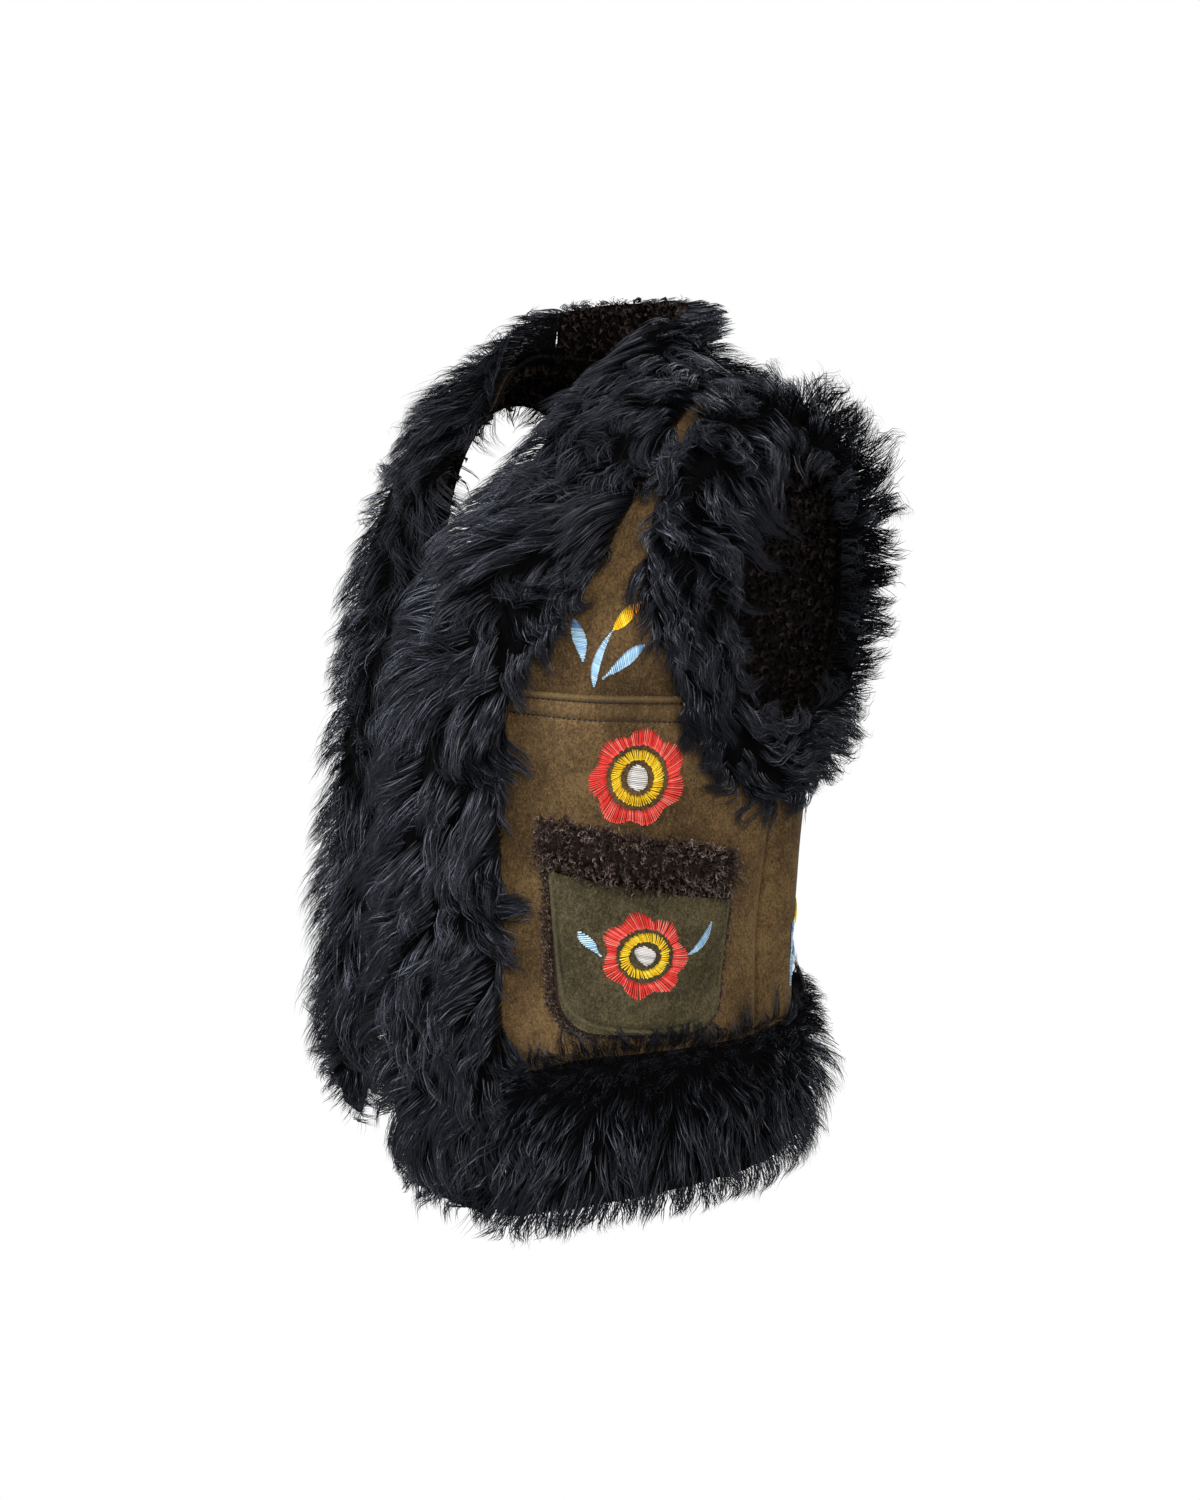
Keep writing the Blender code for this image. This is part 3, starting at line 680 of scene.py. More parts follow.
def front_wear_and_highlight(angle, level):
    """How rubbed a front's suede is on the welt under the yoke, and a painted highlight on the ridge beside
    the side seam.
    """
    below = climb_to(YOKE_SEAM) - climb_to(level)
    welt = 0.55 * bump((below - 3.0 * MM) / (3.0 * MM)) + 0.15 * bump((below - 13 * MM) / (7 * MM))
    # The second term lightens the ridge beside the side seam as a painted highlight
    return welt + 0.35 * bump((SIDE_SEAM - angle - 2.4) / 2.0) * bump((level + 0.45) / 0.24)


HIDE_FACES = ("olive_suede", "wool_skin")


def front_panel(wearer_side):
    """A lower front, its grid finer at the yoke seam and at the side seam."""

    def place(across, up):
        level = levels_over(HIDE_HEM, YOKE_SEAM, up, 0.55)
        share = 1 - (1 - face_out(wearer_side, across)) ** 1.4
        angle = between(front_edge(level), side_edge(level, True), share)
        points = off_hide(mirrored(angle, wearer_side), level, panel_relief(angle, level))
        return points, front_wear_and_highlight(angle, level)

    return cloth(f"hide_front_{wearer_side}", 44, 84, place, HIDE, HIDE_FACES)


def yoke_panel(wearer_side):
    def place(across, up):
        level = levels_over(YOKE_SEAM - LAP, NECK, up)
        share = face_out(wearer_side, across)
        angle = between(front_edge(level), side_edge(level, True), share)
        return off_hide(mirrored(angle, wearer_side), level, yoke_sink(level)), 0.0

    return cloth(f"hide_yoke_{wearer_side}", 36, 44, place, HIDE, HIDE_FACES)


def back_panel():
    """The back, its grid finer at both side seams."""

    def place(across, up):
        level = levels_over(HIDE_HEM, NECK, up)
        edge = side_edge(level, False) - SEAM_LAP
        angle = between(edge, 360 - edge, crowded(across, 0.9))
        relief = side_roll(np.minimum(angle, 360 - angle))
        return off_hide(angle, level, relief), 0.0

    return cloth("hide_back", 80, 52, place, HIDE, HIDE_FACES)


# Strands: hair, curls and threads as arrays


def flat_strands(paths, outs, widths, twists, taper):
    """Flat pointed strips along paths of shape (strands, points, 3), facing outs and turned by twists."""
    count, steps = paths.shape[:2]
    along = unit(np.gradient(paths, axis=1))
    side = unit(np.cross(along, np.broadcast_to(outs[:, None, :], paths.shape)))
    cosine, sine = np.cos(twists)[:, None, None], np.sin(twists)[:, None, None]
    turned = side * cosine + np.cross(along, side) * sine
    half = 0.5 * widths[:, None, None] * np.asarray(taper)[None, :-1, None]
    left, right = paths[:, :-1] - turned[:, :-1] * half, paths[:, :-1] + turned[:, :-1] * half
    pairs = np.stack((left, right), axis=2).reshape(count, 2 * (steps - 1), 3)
    points = np.concatenate((pairs, paths[:, -1:]), axis=1)
    each = points.shape[1]
    firsts = np.arange(count)[:, None] * each
    k = 2 * np.arange(steps - 2)[None, :]
    quads = np.stack((firsts + k, firsts + k + 1, firsts + k + 3, firsts + k + 2), axis=-1).reshape(-1, 4)
    last = firsts[:, 0] + 2 * (steps - 2)
    ends = np.stack((last, last + 1, last + 2), axis=-1)
    return points.reshape(-1, 3), (quads, ends)


def strand_tones(tones):
    """Tones of shape (strands, points) for the points that flat_strands makes."""
    pairs = np.repeat(tones[:, :-1], 2, axis=1)
    return np.concatenate((pairs, tones[:, -1:]), axis=1).ravel()


def tufts_near(along, across, cell, rng):
    """For each root, its nearest tuft's centre and four random numbers. Tufts are about a cell apart."""
    low_a, low_s = along.min() - 2 * cell, across.min() - 2 * cell
    shape = (int((along.max() - low_a) / cell) + 4, int((across.max() - low_s) / cell) + 4)
    jitter, numbers = rng.random((*shape, 2)), rng.random((*shape, 4))
    i0, s0 = ((along - low_a) / cell).astype(int), ((across - low_s) / cell).astype(int)
    best = np.full(len(along), np.inf)
    chosen = [np.zeros_like(i0), np.zeros_like(s0)]
    for di in (-1, 0, 1):
        for ds in (-1, 0, 1):
            i, s = i0 + di, s0 + ds
            centre = jitter[i, s]
            far = (low_a + (i + centre[:, 0]) * cell - along) ** 2
            far = far + (low_s + (s + centre[:, 1]) * cell - across) ** 2
            nearer = far < best
            best = np.where(nearer, far, best)
            chosen = [np.where(nearer, i, chosen[0]), np.where(nearer, s, chosen[1])]
    centre = jitter[chosen[0], chosen[1]]
    middle_a = low_a + (chosen[0] + centre[:, 0]) * cell
    middle_s = low_s + (chosen[1] + centre[:, 1]) * cell
    return middle_a, middle_s, numbers[chosen[0], chosen[1]]


def drift(along, across, length, seed):
    """A slow, smooth wandering from -1 to 1 over the hide."""
    rng = np.random.default_rng(seed)
    total = 0.0
    for _ in range(5):
        heading, phase = rng.random(2) * math.tau
        stretch = math.tau / (length * (0.7 + 0.8 * rng.random()))
        total = total + np.sin(stretch * (along * math.cos(heading) + across * math.sin(heading)) + phase)
    return total / 3.0


# The fur bands

PILE_LIFT = {"front": 0.0020, "armhole": 0.0016, "collar": 0.0024, "hem": 0.0012}
STRIP_WALL = 0.0018
UNDERFUR_SHARE = 0.34
CLEARANCE = 0.0004


def pile_height(share, pile):
    """The mean height of the pile over the hide, from the free edge at share 0 to the sewn edge at 1."""
    share = np.clip(share, -0.1, 1.06)
    return pile * between(0.12, 1.0, np.sin(np.pi * between(0.16, 0.93, share)) ** 0.5)


class Strip:
    """A strip of long-haired hide. A place on it is metres along, metres across from the free edge, a height.

    Its stations hold the free edge's angle and level, the sewn edge's, and the pile's height; the table adds
    the width and the directions out of the hide at both edges.
    """

    PILE, WIDTH, FREE_OUT, SEWN_OUT = 4, 5, (6, 7, 8), (9, 10, 11)
    ROW_STEP = 0.008
    REACH = 0.06

    def __init__(self, stations, kind, mirror):
        table = np.array(stations, float)
        self.closed, self.mirror, self.lift = kind == "armhole", mirror, PILE_LIFT[kind]
        if self.closed:
            table = np.vstack([table, table[0]])
        table = self.resampled(table)
        free, sewn = hide_point(table[:, 0], table[:, 1]), hide_point(table[:, 2], table[:, 3])
        width = np.linalg.norm(sewn - free, axis=1)
        normals = (hide_normal(table[:, 0], table[:, 1]), hide_normal(table[:, 2], table[:, 3]))
        self.at = self.distances(table)
        self.length = float(self.at[-1])
        self.table = np.column_stack([table, width, *normals])
        self.extend()

    @staticmethod
    def distances(table):
        middles = hide_point((table[:, 0] + table[:, 2]) / 2, (table[:, 1] + table[:, 3]) / 2)
        steps = np.linalg.norm(np.diff(middles, axis=0), axis=1)
        return np.concatenate([[0.0], np.cumsum(steps)])

    def resampled(self, table):
        at = self.distances(table)
        wanted = np.linspace(0, at[-1], int(at[-1] / self.ROW_STEP) + 1)
        i, weights = cubic_shares(at, wanted)
        return np.array([cubic(i, weights, column, steady_slopes(at, column)) for column in table.T]).T

    def extend(self):
        """Rows past both ends, for hair that leans over them: a ring goes on, an open strip runs on."""
        if self.closed:
            many = len(self.at) // 3
            low, high = slice(-1 - many, -1), slice(1, 1 + many)
            self.at = np.concatenate([self.at[low] - self.length, self.at, self.at[high] + self.length])
            self.table = np.vstack([self.table[low], self.table, self.table[high]])
            return
        ends = []
        for end, inner, sign in ((0, 3, -1), (-1, -4, 1)):
            run = abs(self.at[end] - self.at[inner])
            row = self.table[end] + (self.table[end] - self.table[inner]) * self.REACH / run
            row[[self.PILE, self.WIDTH]] = self.table[end][[self.PILE, self.WIDTH]]
            ends.append((self.at[end] + sign * self.REACH, row))
        self.at = np.concatenate([[ends[0][0]], self.at, [ends[1][0]]])
        self.table = np.vstack([ends[0][1], self.table, ends[1][1]])

    def column(self, k, along):
        return np.interp(along, self.at, self.table[:, k])

    def width(self, along):
        return self.column(self.WIDTH, along)

    def pile(self, along):
        return self.column(self.PILE, along)

    def place(self, along, across, height):
        """Points over the strip, and the directions in which the pile stands there."""
        share = across / self.width(along)
        free_angle, free_level, sewn_angle, sewn_level = (self.column(k, along) for k in range(4))
        free_out = np.stack([self.column(k, along) for k in self.FREE_OUT], axis=-1)
        sewn_out = np.stack([self.column(k, along) for k in self.SEWN_OUT], axis=-1)
        out = unit(between(free_out, sewn_out, share[..., None]))
        base = hide_point(between(free_angle, sewn_angle, share), between(free_level, sewn_level, share))
        points = base + (self.lift + height)[..., None] * out
        if self.mirror:
            flip = np.array((-1.0, 1.0, 1.0))
            return points * flip, out * flip
        return points, out

    def down(self, along, across):
        """How much a step straight down is a step along and a step across, at each place."""
        step, none = 0.002, np.zeros_like(along)
        here = self.place(along, across, none)[0]
        by_along = unit(self.place(along + step, across, none)[0] - here)
        by_across = unit(self.place(along, across + step, none)[0] - here)
        return -by_along[:, 2], -by_across[:, 2]


FRONT_ROWS = (
    (-0.645, 0.044, 0.140, 0.022),
    (-0.615, 0.024, 0.146, 0.034),
    (-0.540, 0.006, 0.146, 0.039),
    (-0.430, FRONT_GAP, 0.134, 0.040),
    (-0.340, FRONT_GAP, 0.128, 0.040),
    (-0.250, FRONT_GAP, 0.122, 0.039),
)
FOOT_DROP = {"left": 0.020, "right": 0.0}
NECK_STATIONS = (
    (1.6, -0.175, 38.0, -0.180, 0.038),
    (4.5, -0.110, 45.0, -0.130, 0.038),
    (9.5, -0.052, 50.0, -0.085, 0.037),
    (22.0, -0.012, 57.0, -0.050, 0.036),
    (48.0, 0.012, 70.0, -0.024, 0.035),
    (75.0, 0.030, 86.0, -0.0165, 0.033),
    (SIDE_SEAM - HALF_FUR_SEAM, 0.038, SIDE_SEAM - HALF_FUR_SEAM, -0.0150, 0.032),
)
COLLAR_STATIONS = (
    (SIDE_SEAM + HALF_FUR_SEAM, 0.038, SIDE_SEAM + HALF_FUR_SEAM, -0.0150, 0.032),
    (135.0, 0.048, 135.0, -0.0190, 0.031),
    (180.0, 0.052, 180.0, -0.0220, 0.030),
    (225.0, 0.048, 225.0, -0.0190, 0.031),
    (360 - SIDE_SEAM - HALF_FUR_SEAM, 0.038, 360 - SIDE_SEAM - HALF_FUR_SEAM, -0.0150, 0.032),
)
HEM_ROWS = (
    (58.0, -0.652, -0.520, 0.038),
    (90.0, -0.636, -0.512, 0.038),
    (130.0, -0.624, -0.508, 0.038),
    (180.0, -0.620, -0.506, 0.038),
    (230.0, -0.622, -0.508, 0.038),
    (270.0, -0.628, -0.512, 0.038),
    (302.0, -0.634, -0.520, 0.038),
)
HEM_ENDS = {"left": (-0.672, -0.540, 0.036), "right": (-0.644, -0.540, 0.036)}
HEM_CLEARANCE = 0.0080
ARMHOLE_ROWS = (
    (0, -0.008, 0.044, 0.036),
    (35, -0.006, 0.046, 0.037),
    (70, -0.004, 0.062, 0.038),
    (95, -0.004, 0.052, 0.038),
    (115, -0.006, 0.040, 0.037),
    (145, -0.004, 0.035, 0.036),
    (165, -0.010, 0.042, 0.037),
    (190, -0.011, 0.055, 0.038),
    (225, -0.007, 0.064, 0.038),
    (270, -0.012, 0.072, 0.040),
    (320, -0.010, 0.062, 0.040),
)
ARMHOLE_STATIONS = 34


def front_rows(wearer_side):
    """The front band's rows: level, metres from the centre front to its free and sewn edges, and pile."""
    drops = (FOOT_DROP[wearer_side],) * 2 + (0.0,) * (len(FRONT_ROWS) - 2)
    return [(level - drop, *rest) for (level, *rest), drop in zip(FRONT_ROWS, drops)]


def front_stations(wearer_side):
    """The front band from the shoulder seam down to its foot."""
    stations = []
    for level, free_metres, sewn_metres, pile in front_rows(wearer_side):
        free, sewn = angle_from_front(level, free_metres), angle_from_front(level, sewn_metres)
        stations.append((float(free), level, float(sewn), level, pile))
    return list(reversed(stations + list(NECK_STATIONS)))


def hem_stations():
    """The hem band from the left front band round the back to the right one."""
    ends = []
    for wearer_side in SIDES:
        *levels, pile = HEM_ENDS[wearer_side]
        rows = np.array(front_rows(wearer_side))
        places = []
        for level in levels:
            beside = np.interp(level, rows[:, 0], rows[:, 2]) + HEM_CLEARANCE
            angle = float(angle_from_front(level, beside))
            places += [angle if wearer_side == "left" else 360 - angle, level]
        ends.append((*places, pile))
    middle = [(angle, free, angle, sewn, pile) for angle, free, sewn, pile in HEM_ROWS]
    return [ends[0], *middle, ends[1]]


def armhole_spot(direction, out):
    """The angle and level of a place out from the armhole's cut edge; direction 0 is up, 90 forwards."""
    low, high = climb_to(UNDERARM), climb_to(SHOULDER_TIP)
    turn = math.radians(direction)
    climb = (high - low) / 2 + math.cos(turn) * ((high - low) / 2 + out)
    level = float(level_up(UNDERARM, climb))
    return float(angle_from_side(level, -math.sin(turn) * (HOLE_HALF_WIDTH + out))), level


def armhole_stations():
    table = np.array(ARMHOLE_ROWS, float)
    wrapped = np.vstack([table, table[0] + (360, 0, 0, 0)])
    stations = []
    for i in range(ARMHOLE_STATIONS):
        direction = 360 * i / ARMHOLE_STATIONS
        free_out, sewn_out, pile = (np.interp(direction, wrapped[:, 0], wrapped[:, k]) for k in (1, 2, 3))
        free, sewn = armhole_spot(direction, free_out), armhole_spot(direction, sewn_out)
        stations.append((*free, *sewn, float(pile)))
    return stations


# How each band's hair lies: its lean in metres along and across at the shares of COMB_SHARES from the free
# edge, how much of it hangs, turns and waves, its reach as a share of the pile's height and where on a ring
# that is greatest, a strand's points, how far apart locks and tufts are, and how much hair gathers to them
COMB_SHARES = (0.0, 0.25, 0.5, 0.8, 1.0)
HAIR_STYLES = {
    "front": dict(
        comb_along=(0.022, 0.030, 0.034, 0.031, 0.020),
        comb_across=(-0.026, -0.018, -0.004, 0.009, 0.016),
        fall=0.008, swirl=1.05, wave=0.0056, cycles=0.85, reach=1.08, crest=(0.0, 0.0),
        steps=6, lock=0.018, tuft=0.0062, gather=(0.50, 0.74),
    ),
    "armhole": dict(
        comb_along=(0.016, 0.018, 0.018, 0.014, 0.010),
        comb_across=(-0.024, -0.014, -0.001, 0.009, 0.012),
        fall=0.010, swirl=1.00, wave=0.0050, cycles=1.25, reach=1.20, crest=(0.22, 335.0),
        steps=7, lock=0.017, tuft=0.0070, gather=(0.58, 0.84),
    ),
    "collar": dict(
        comb_along=(0.004, 0.004, 0.002, 0.0, 0.0),
        comb_across=(-0.011, -0.006, 0.006, 0.016, 0.024),
        fall=0.012, swirl=0.8, wave=0.0042, cycles=1.1, reach=1.15, crest=(0.0, 0.0),
        steps=6, lock=0.015, tuft=0.0060, gather=(0.50, 0.78),
    ),
    "hem": dict(
        comb_along=(-0.006, -0.008, -0.008, -0.007, -0.005),
        comb_across=(-0.018, -0.034, -0.037, 0.0, 0.023),
        fall=0.0, swirl=0.50, wave=0.0034, cycles=1.0, reach=1.15, crest=(0.0, 0.0),
        steps=6, lock=0.013, tuft=0.0046, gather=(0.50, 0.72),
    ),
}

# The hair of an open band leans out over its ends and lies calmer near the last one
END_LEAN = 0.012
END_SPREAD = 0.018
END_CALM = 0.060

# How far tufts and single hairs lean off their lock, how much they frizz, the share of strays, how far past an
# edge hair stands before it hangs, and how high it stays even there
TUFT_SPREAD = 0.010
HAIR_SPREAD = 0.005
FRIZZ = 0.0008
STRAYS = 0.025
OVERHANG = 0.022
LEAST_HEIGHT = 0.0008


def roots_on(strip, spacing, rng):
    """Roots all over a strip, about one in each square of the spacing, closer together at the sewn edge."""
    mean_width = float(np.mean(strip.width(np.linspace(0, strip.length, 50))))
    columns, rows = int(strip.length / spacing), int(mean_width / spacing)
    i, j = np.meshgrid(np.arange(columns), np.arange(rows), indexing="ij")
    along = (i.ravel() + rng.random(columns * rows)) * strip.length / columns
    share = crowded((j.ravel() + rng.random(columns * rows)) / rows, 0.25)
    share = 1 - (1 - share) ** 1.3
    return along, between(0.012, 0.988, share) * strip.width(along)


def combed(strip, style, lock_a, lock_s, lock_numbers, seed):
    """How far the hair of each lock leans along and across its strip."""
    share = lock_s / strip.width(lock_a)
    lean_a = np.interp(share, COMB_SHARES, style["comb_along"])
    lean_s = np.interp(share, COMB_SHARES, style["comb_across"])
    fall = style["fall"]
    if not strip.closed:
        before, past = lock_a / END_SPREAD, (strip.length - lock_a) / END_SPREAD
        near_end = np.clip((strip.length - lock_a) / END_CALM, 0.15, 1)
        lean_a = lean_a * near_end
        lean_a = lean_a + END_LEAN * (0.3 * np.clip(1 - past, 0, 1) - np.clip(1 - before, 0, 1))
        fall = fall * near_end
    down_a, down_s = strip.down(lock_a, lock_s)
    lean_a, lean_s = lean_a + fall * down_a, lean_s + fall * down_s
    calm = between(0.35, 1.0, smooth_step(share / 0.4))
    wander = 0.9 * drift(lock_a, lock_s, 0.085, seed) + 0.9 * (lock_numbers[:, 0] - 0.5)
    turn = calm * style["swirl"] * wander
    stretch = 0.75 + 0.5 * lock_numbers[:, 1]
    turned_a = lean_a * np.cos(turn) - lean_s * np.sin(turn)
    turned_s = lean_a * np.sin(turn) + lean_s * np.cos(turn)
    return turned_a * stretch, turned_s * stretch


def hair_on(strip, style, spacing, width, seed):
    """Long hair over a strip, gathered in locks and finer tufts that end in points, as one shape."""
    rng = np.random.default_rng(seed)
    along, across = roots_on(strip, spacing, rng)
    count, steps = len(along), style["steps"]
    lock_a, lock_s, lock_numbers = tufts_near(along, across, style["lock"], rng)
    tuft_a, tuft_s, tuft_numbers = tufts_near(along, across, style["tuft"], rng)
    numbers = rng.random((count, 6))
    lean_a, lean_s = combed(strip, style, lock_a, lock_s, lock_numbers, seed)
    lean_a = lean_a + TUFT_SPREAD * (tuft_numbers[:, 0] - 0.5) + HAIR_SPREAD * (numbers[:, 0] - 0.5)
    lean_s = lean_s + TUFT_SPREAD * (tuft_numbers[:, 1] - 0.5) + HAIR_SPREAD * (numbers[:, 1] - 0.5)
    stray = numbers[:, 5] < STRAYS
    gather_lock, gather_tuft = (np.where(stray, 0.15, much) for much in style["gather"])

    t = np.linspace(0, 1, steps)[None, :]
    to_lock, to_tuft = 1 - gather_lock[:, None] * t**1.4, 1 - gather_tuft[:, None] * t**0.9
    path_a = lock_a[:, None] + (tuft_a - lock_a)[:, None] * to_lock + (along - tuft_a)[:, None] * to_tuft
    path_s = lock_s[:, None] + (tuft_s - lock_s)[:, None] * to_lock + (across - tuft_s)[:, None] * to_tuft
    size = np.maximum(np.hypot(lean_a, lean_s), 1e-6)
    side_a, side_s = -lean_s / size, lean_a / size
    amount = style["wave"] * (0.5 + lock_numbers[:, 2])
    phase = 2.2 * drift(lock_a, lock_s, 0.060, seed + 7) + 1.6 * lock_numbers[:, 3] + tuft_numbers[:, 2]
    wave = amount[:, None] * t * np.sin(math.tau * style["cycles"] * t + phase[:, None])
    frizz = FRIZZ * t * np.sin(math.tau * (1.7 * t + numbers[:, 2:3]))
    path_a = path_a + lean_a[:, None] * t**1.2 + side_a[:, None] * (wave + frizz)
    path_s = path_s + lean_s[:, None] * t**1.2 + side_s[:, None] * (wave + frizz)

    crest, crest_at = style["crest"]
    crest = 1 + crest * np.cos(math.tau * lock_a / strip.length - math.radians(crest_at))
    widths_there = strip.width(path_a)
    top = pile_height(path_s[:, -1] / widths_there[:, -1], strip.pile(path_a[:, -1]))
    top = top * style["reach"] * crest
    top = top * (0.70 + 0.36 * lock_numbers[:, 3]) * (0.88 + 0.20 * tuft_numbers[:, 3])
    top = top * (0.82 + 0.22 * numbers[:, 3]) * np.where(stray, 1.08, 1.0)
    past = np.maximum(np.maximum(path_s - widths_there, -path_s), 0.0)
    height = top[:, None] * (1 - (1 - t) ** 1.9) + 0.3 * wave
    height = np.maximum(height * (1 - 0.65 * smooth_step(past / OVERHANG)), LEAST_HEIGHT * t)
    paths, outs = strip.place(path_a, path_s, height)
    twists = (numbers[:, 4] - 0.5) * 1.9
    widths = width * (0.65 + 0.7 * numbers[:, 0])
    taper = np.interp(np.linspace(0, 1, steps), (0, 0.25, 0.6, 1.0), (0.75, 1.0, 0.8, 0.0))
    points, faces = flat_strands(paths, outs[:, 1], widths, twists, taper)
    light = 0.5 * (tuft_numbers[:, 0:1] - 0.5) + 0.4 * (lock_numbers[:, 1:2] - 0.5) + 0.3 * numbers[:, 1:2]
    tones = np.clip(0.02 + 0.60 * t + light, 0, 1)
    return points, faces, strand_tones(tones)


def tube_faces(count, many, closed=False):
    """The faces of a tube of count rings with many points each: its sides, and those of its two ends."""
    i, k = np.arange(count if closed else count - 1)[:, None], np.arange(many)[None, :]
    ahead, beside = (i + 1) % count, (k + 1) % many
    sides = np.stack((i * many + k, i * many + beside, ahead * many + beside, ahead * many + k), axis=-1)
    end = np.arange(many)
    return sides.reshape(-1, 4), (end[None, ::-1], (end + (count - 1) * many)[None, :])


def underfur_on(strip, seed):
    """The thick short wool between the long hair's roots: a lumpy low form that fills the strip."""
    step, cells = 0.009, 12
    columns = int(strip.length / step)
    count = columns if strip.closed else columns + 1
    along = np.linspace(0, strip.length, columns + 1)[:count]
    share = np.linspace(0.07, 0.93, cells + 1)
    grid_a, grid_share = np.meshgrid(along, share, indexing="ij")
    across = grid_share * strip.width(grid_a)
    lumps = 1 + 0.22 * drift(grid_a, across, 0.020, seed)
    height = UNDERFUR_SHARE * pile_height(grid_share, strip.pile(grid_a)) * lumps
    height[:, (0, -1)] *= 0.75
    over = strip.place(grid_a, across, height)[0]
    under = strip.place(grid_a, across, np.full_like(height, STRIP_WALL + CLEARANCE))[0][:, ::-1]
    rings = np.concatenate((over, under), axis=1)
    sides, ends = tube_faces(*rings.shape[:2], strip.closed)
    return rings.reshape(-1, 3), [sides] if strip.closed else [sides, *ends], 0.0


def backing_strip(name, strip):
    """The thin hide that the long hair grows on, as a sheet just off the panels."""

    def place(across, up):
        along = up * strip.length
        width = strip.width(along)
        share = between(0.05, 0.95, 1 - across if strip.mirror else across)
        return strip.place(along, share * width, np.full_like(along, STRIP_WALL))[0], 0.0

    return cloth(name, 8, int(strip.length / 0.014), place, STRIP_WALL, ("wool_skin",))


def band_stations(kind, wearer_side):
    if kind == "front":
        return front_stations(wearer_side)
    return {"armhole": armhole_stations, "collar": lambda: COLLAR_STATIONS, "hem": hem_stations}[kind]()


# The bands: kind, side, distance between hairs beside the usual, seed, flat cut, its area, the panel under it
FUR_BANDS = (
    ("front", "left", 0.89, 101, (0.142, 0.790), 0.0927, "hide_front_left"),
    ("front", "right", 1.20, 102, (0.142, 0.770), 0.0900, "hide_front_right"),
    ("armhole", "left", 0.78, 103, (0.084, 0.890), 0.0505, "hide_yoke_left"),
    ("armhole", "right", 1.18, 104, (0.084, 0.890), 0.0505, "hide_yoke_right"),
    ("collar", None, 0.95, 105, (0.117, 0.361), 0.0283, "hide_back"),
    ("hem", None, 1.09, 106, (0.137, 0.992), 0.1120, "hide_back"),
)


def fur_band(kind, wearer_side, looseness, seed, flat, area, panel):
    """A fur band: its backing, and its underfur and hair as one piece that stands for the solid."""
    tag = f"{kind}_{wearer_side}" if wearer_side else kind
    strip = Strip(band_stations(kind, wearer_side), kind, wearer_side == "right")
    backing = settle(backing_strip(f"strip_{tag}", strip), "black_long_fur")
    underfur = underfur_on(strip, seed)
    hair = hair_on(strip, HAIR_STYLES[kind], sizes().hair_spacing * looseness, sizes().hair_width, seed)
    hair = joined_mesh(f"hair_{tag}", [(*underfur, 1), (*hair, 0)], ("fur", "underwool"))
    settle(hair, "black_long_fur", f"fur_{tag}")


# Pockets and cuffs, in the solids' places, with the suede and the wool shifted at the pocket's foot

POCKET_MIDDLE = 0.241
POCKET_TOP = -0.388
POCKET_HEIGHT = 0.123
POCKET_TOP_WIDTH = 0.157
POCKET_FOOT_WIDTH = 0.138
POCKET_SLANT = 0.014
FRONT_RISE = 0.007
POCKET_CORNER = 0.030
POCKET_THICK = 0.0090
SUEDE_WALL = 0.0016
POCKET_EDGE_RISE = 0.0042
PILE_SHOWS = 0.0040
PILE_SHOWS_BELOW = 0.0035
SUEDE_SHIFT = 0.0016
FOOT_SHIFT = 0.0100
FOOT_NARROW = 0.0030
WOOL_SHIFT_FRONT = 0.0075
WOOL_SHIFT_SIDE = 0.0060
CUFF_HEIGHT = 0.036
CUFF_THICK = 0.013
CUFF_MIDDLE = 0.2365
CUFF_HALF = 0.079
CUFF_LENGTH = 0.160
CUFF_GIRTH = 0.048
CUFF_TURN = math.radians(168)

# The curls round a pocket's rim and on a cuff: a curl's length and its coil's radius, and where they stand
RIM_CURL = (0.0036, 0.0011)
RIM_CURLS = 1500
RIM_DEPTH = 0.008
RIM_DEPTH_AT_FOOT = 0.012
CUFF_CURL = (0.0092, 0.0013)
CUFF_CLUMP = 0.0046


def straight_half_width(up):
    return between(POCKET_FOOT_WIDTH, POCKET_TOP_WIDTH, up / POCKET_HEIGHT) / 2


def rounded_off(short, corner):
    """How far a round corner lies inside the square one, at places short of its straight part."""
    return corner - np.sqrt(corner**2 - np.clip(short, 0, corner) ** 2)


def pocket_half_width(up):
    """Half the width of the pocket's wool slab, up metres above its foot."""
    return straight_half_width(up) - rounded_off(POCKET_CORNER - up, POCKET_CORNER)


def mouth_rise(share):
    """How much higher the pocket's mouth lies than its middle line, from its front end at share 0."""
    return FRONT_RISE * (1 - share) - POCKET_SLANT * share


def pocket_place(wearer_side, x, up, rise):
    """Points over the pocket: x metres from its middle towards the side, up metres above its foot."""
    up_share = up / POCKET_HEIGHT
    share = 0.5 + x / (2 * straight_half_width(up))
    level = POCKET_TOP - POCKET_HEIGHT * (1 - up_share) + mouth_rise(share) * up_share
    angle = angle_from_front(level, POCKET_MIDDLE + x)
    return off_hide(mirrored(angle, wearer_side), level, rise)


def suede_shift(up):
    """How far the suede lies towards the side from the wool's middle, most at its foot."""
    return SUEDE_SHIFT + FOOT_SHIFT * (1 - up / POCKET_HEIGHT)


def suede_half_width(up):
    """Half the width of the pocket's suede, which lets the wool show at its sides."""
    corner = POCKET_CORNER - PILE_SHOWS
    half = straight_half_width(up) - PILE_SHOWS - FOOT_NARROW * (1 - up / POCKET_HEIGHT)
    return half - rounded_off(corner - (up - PILE_SHOWS_BELOW), corner)


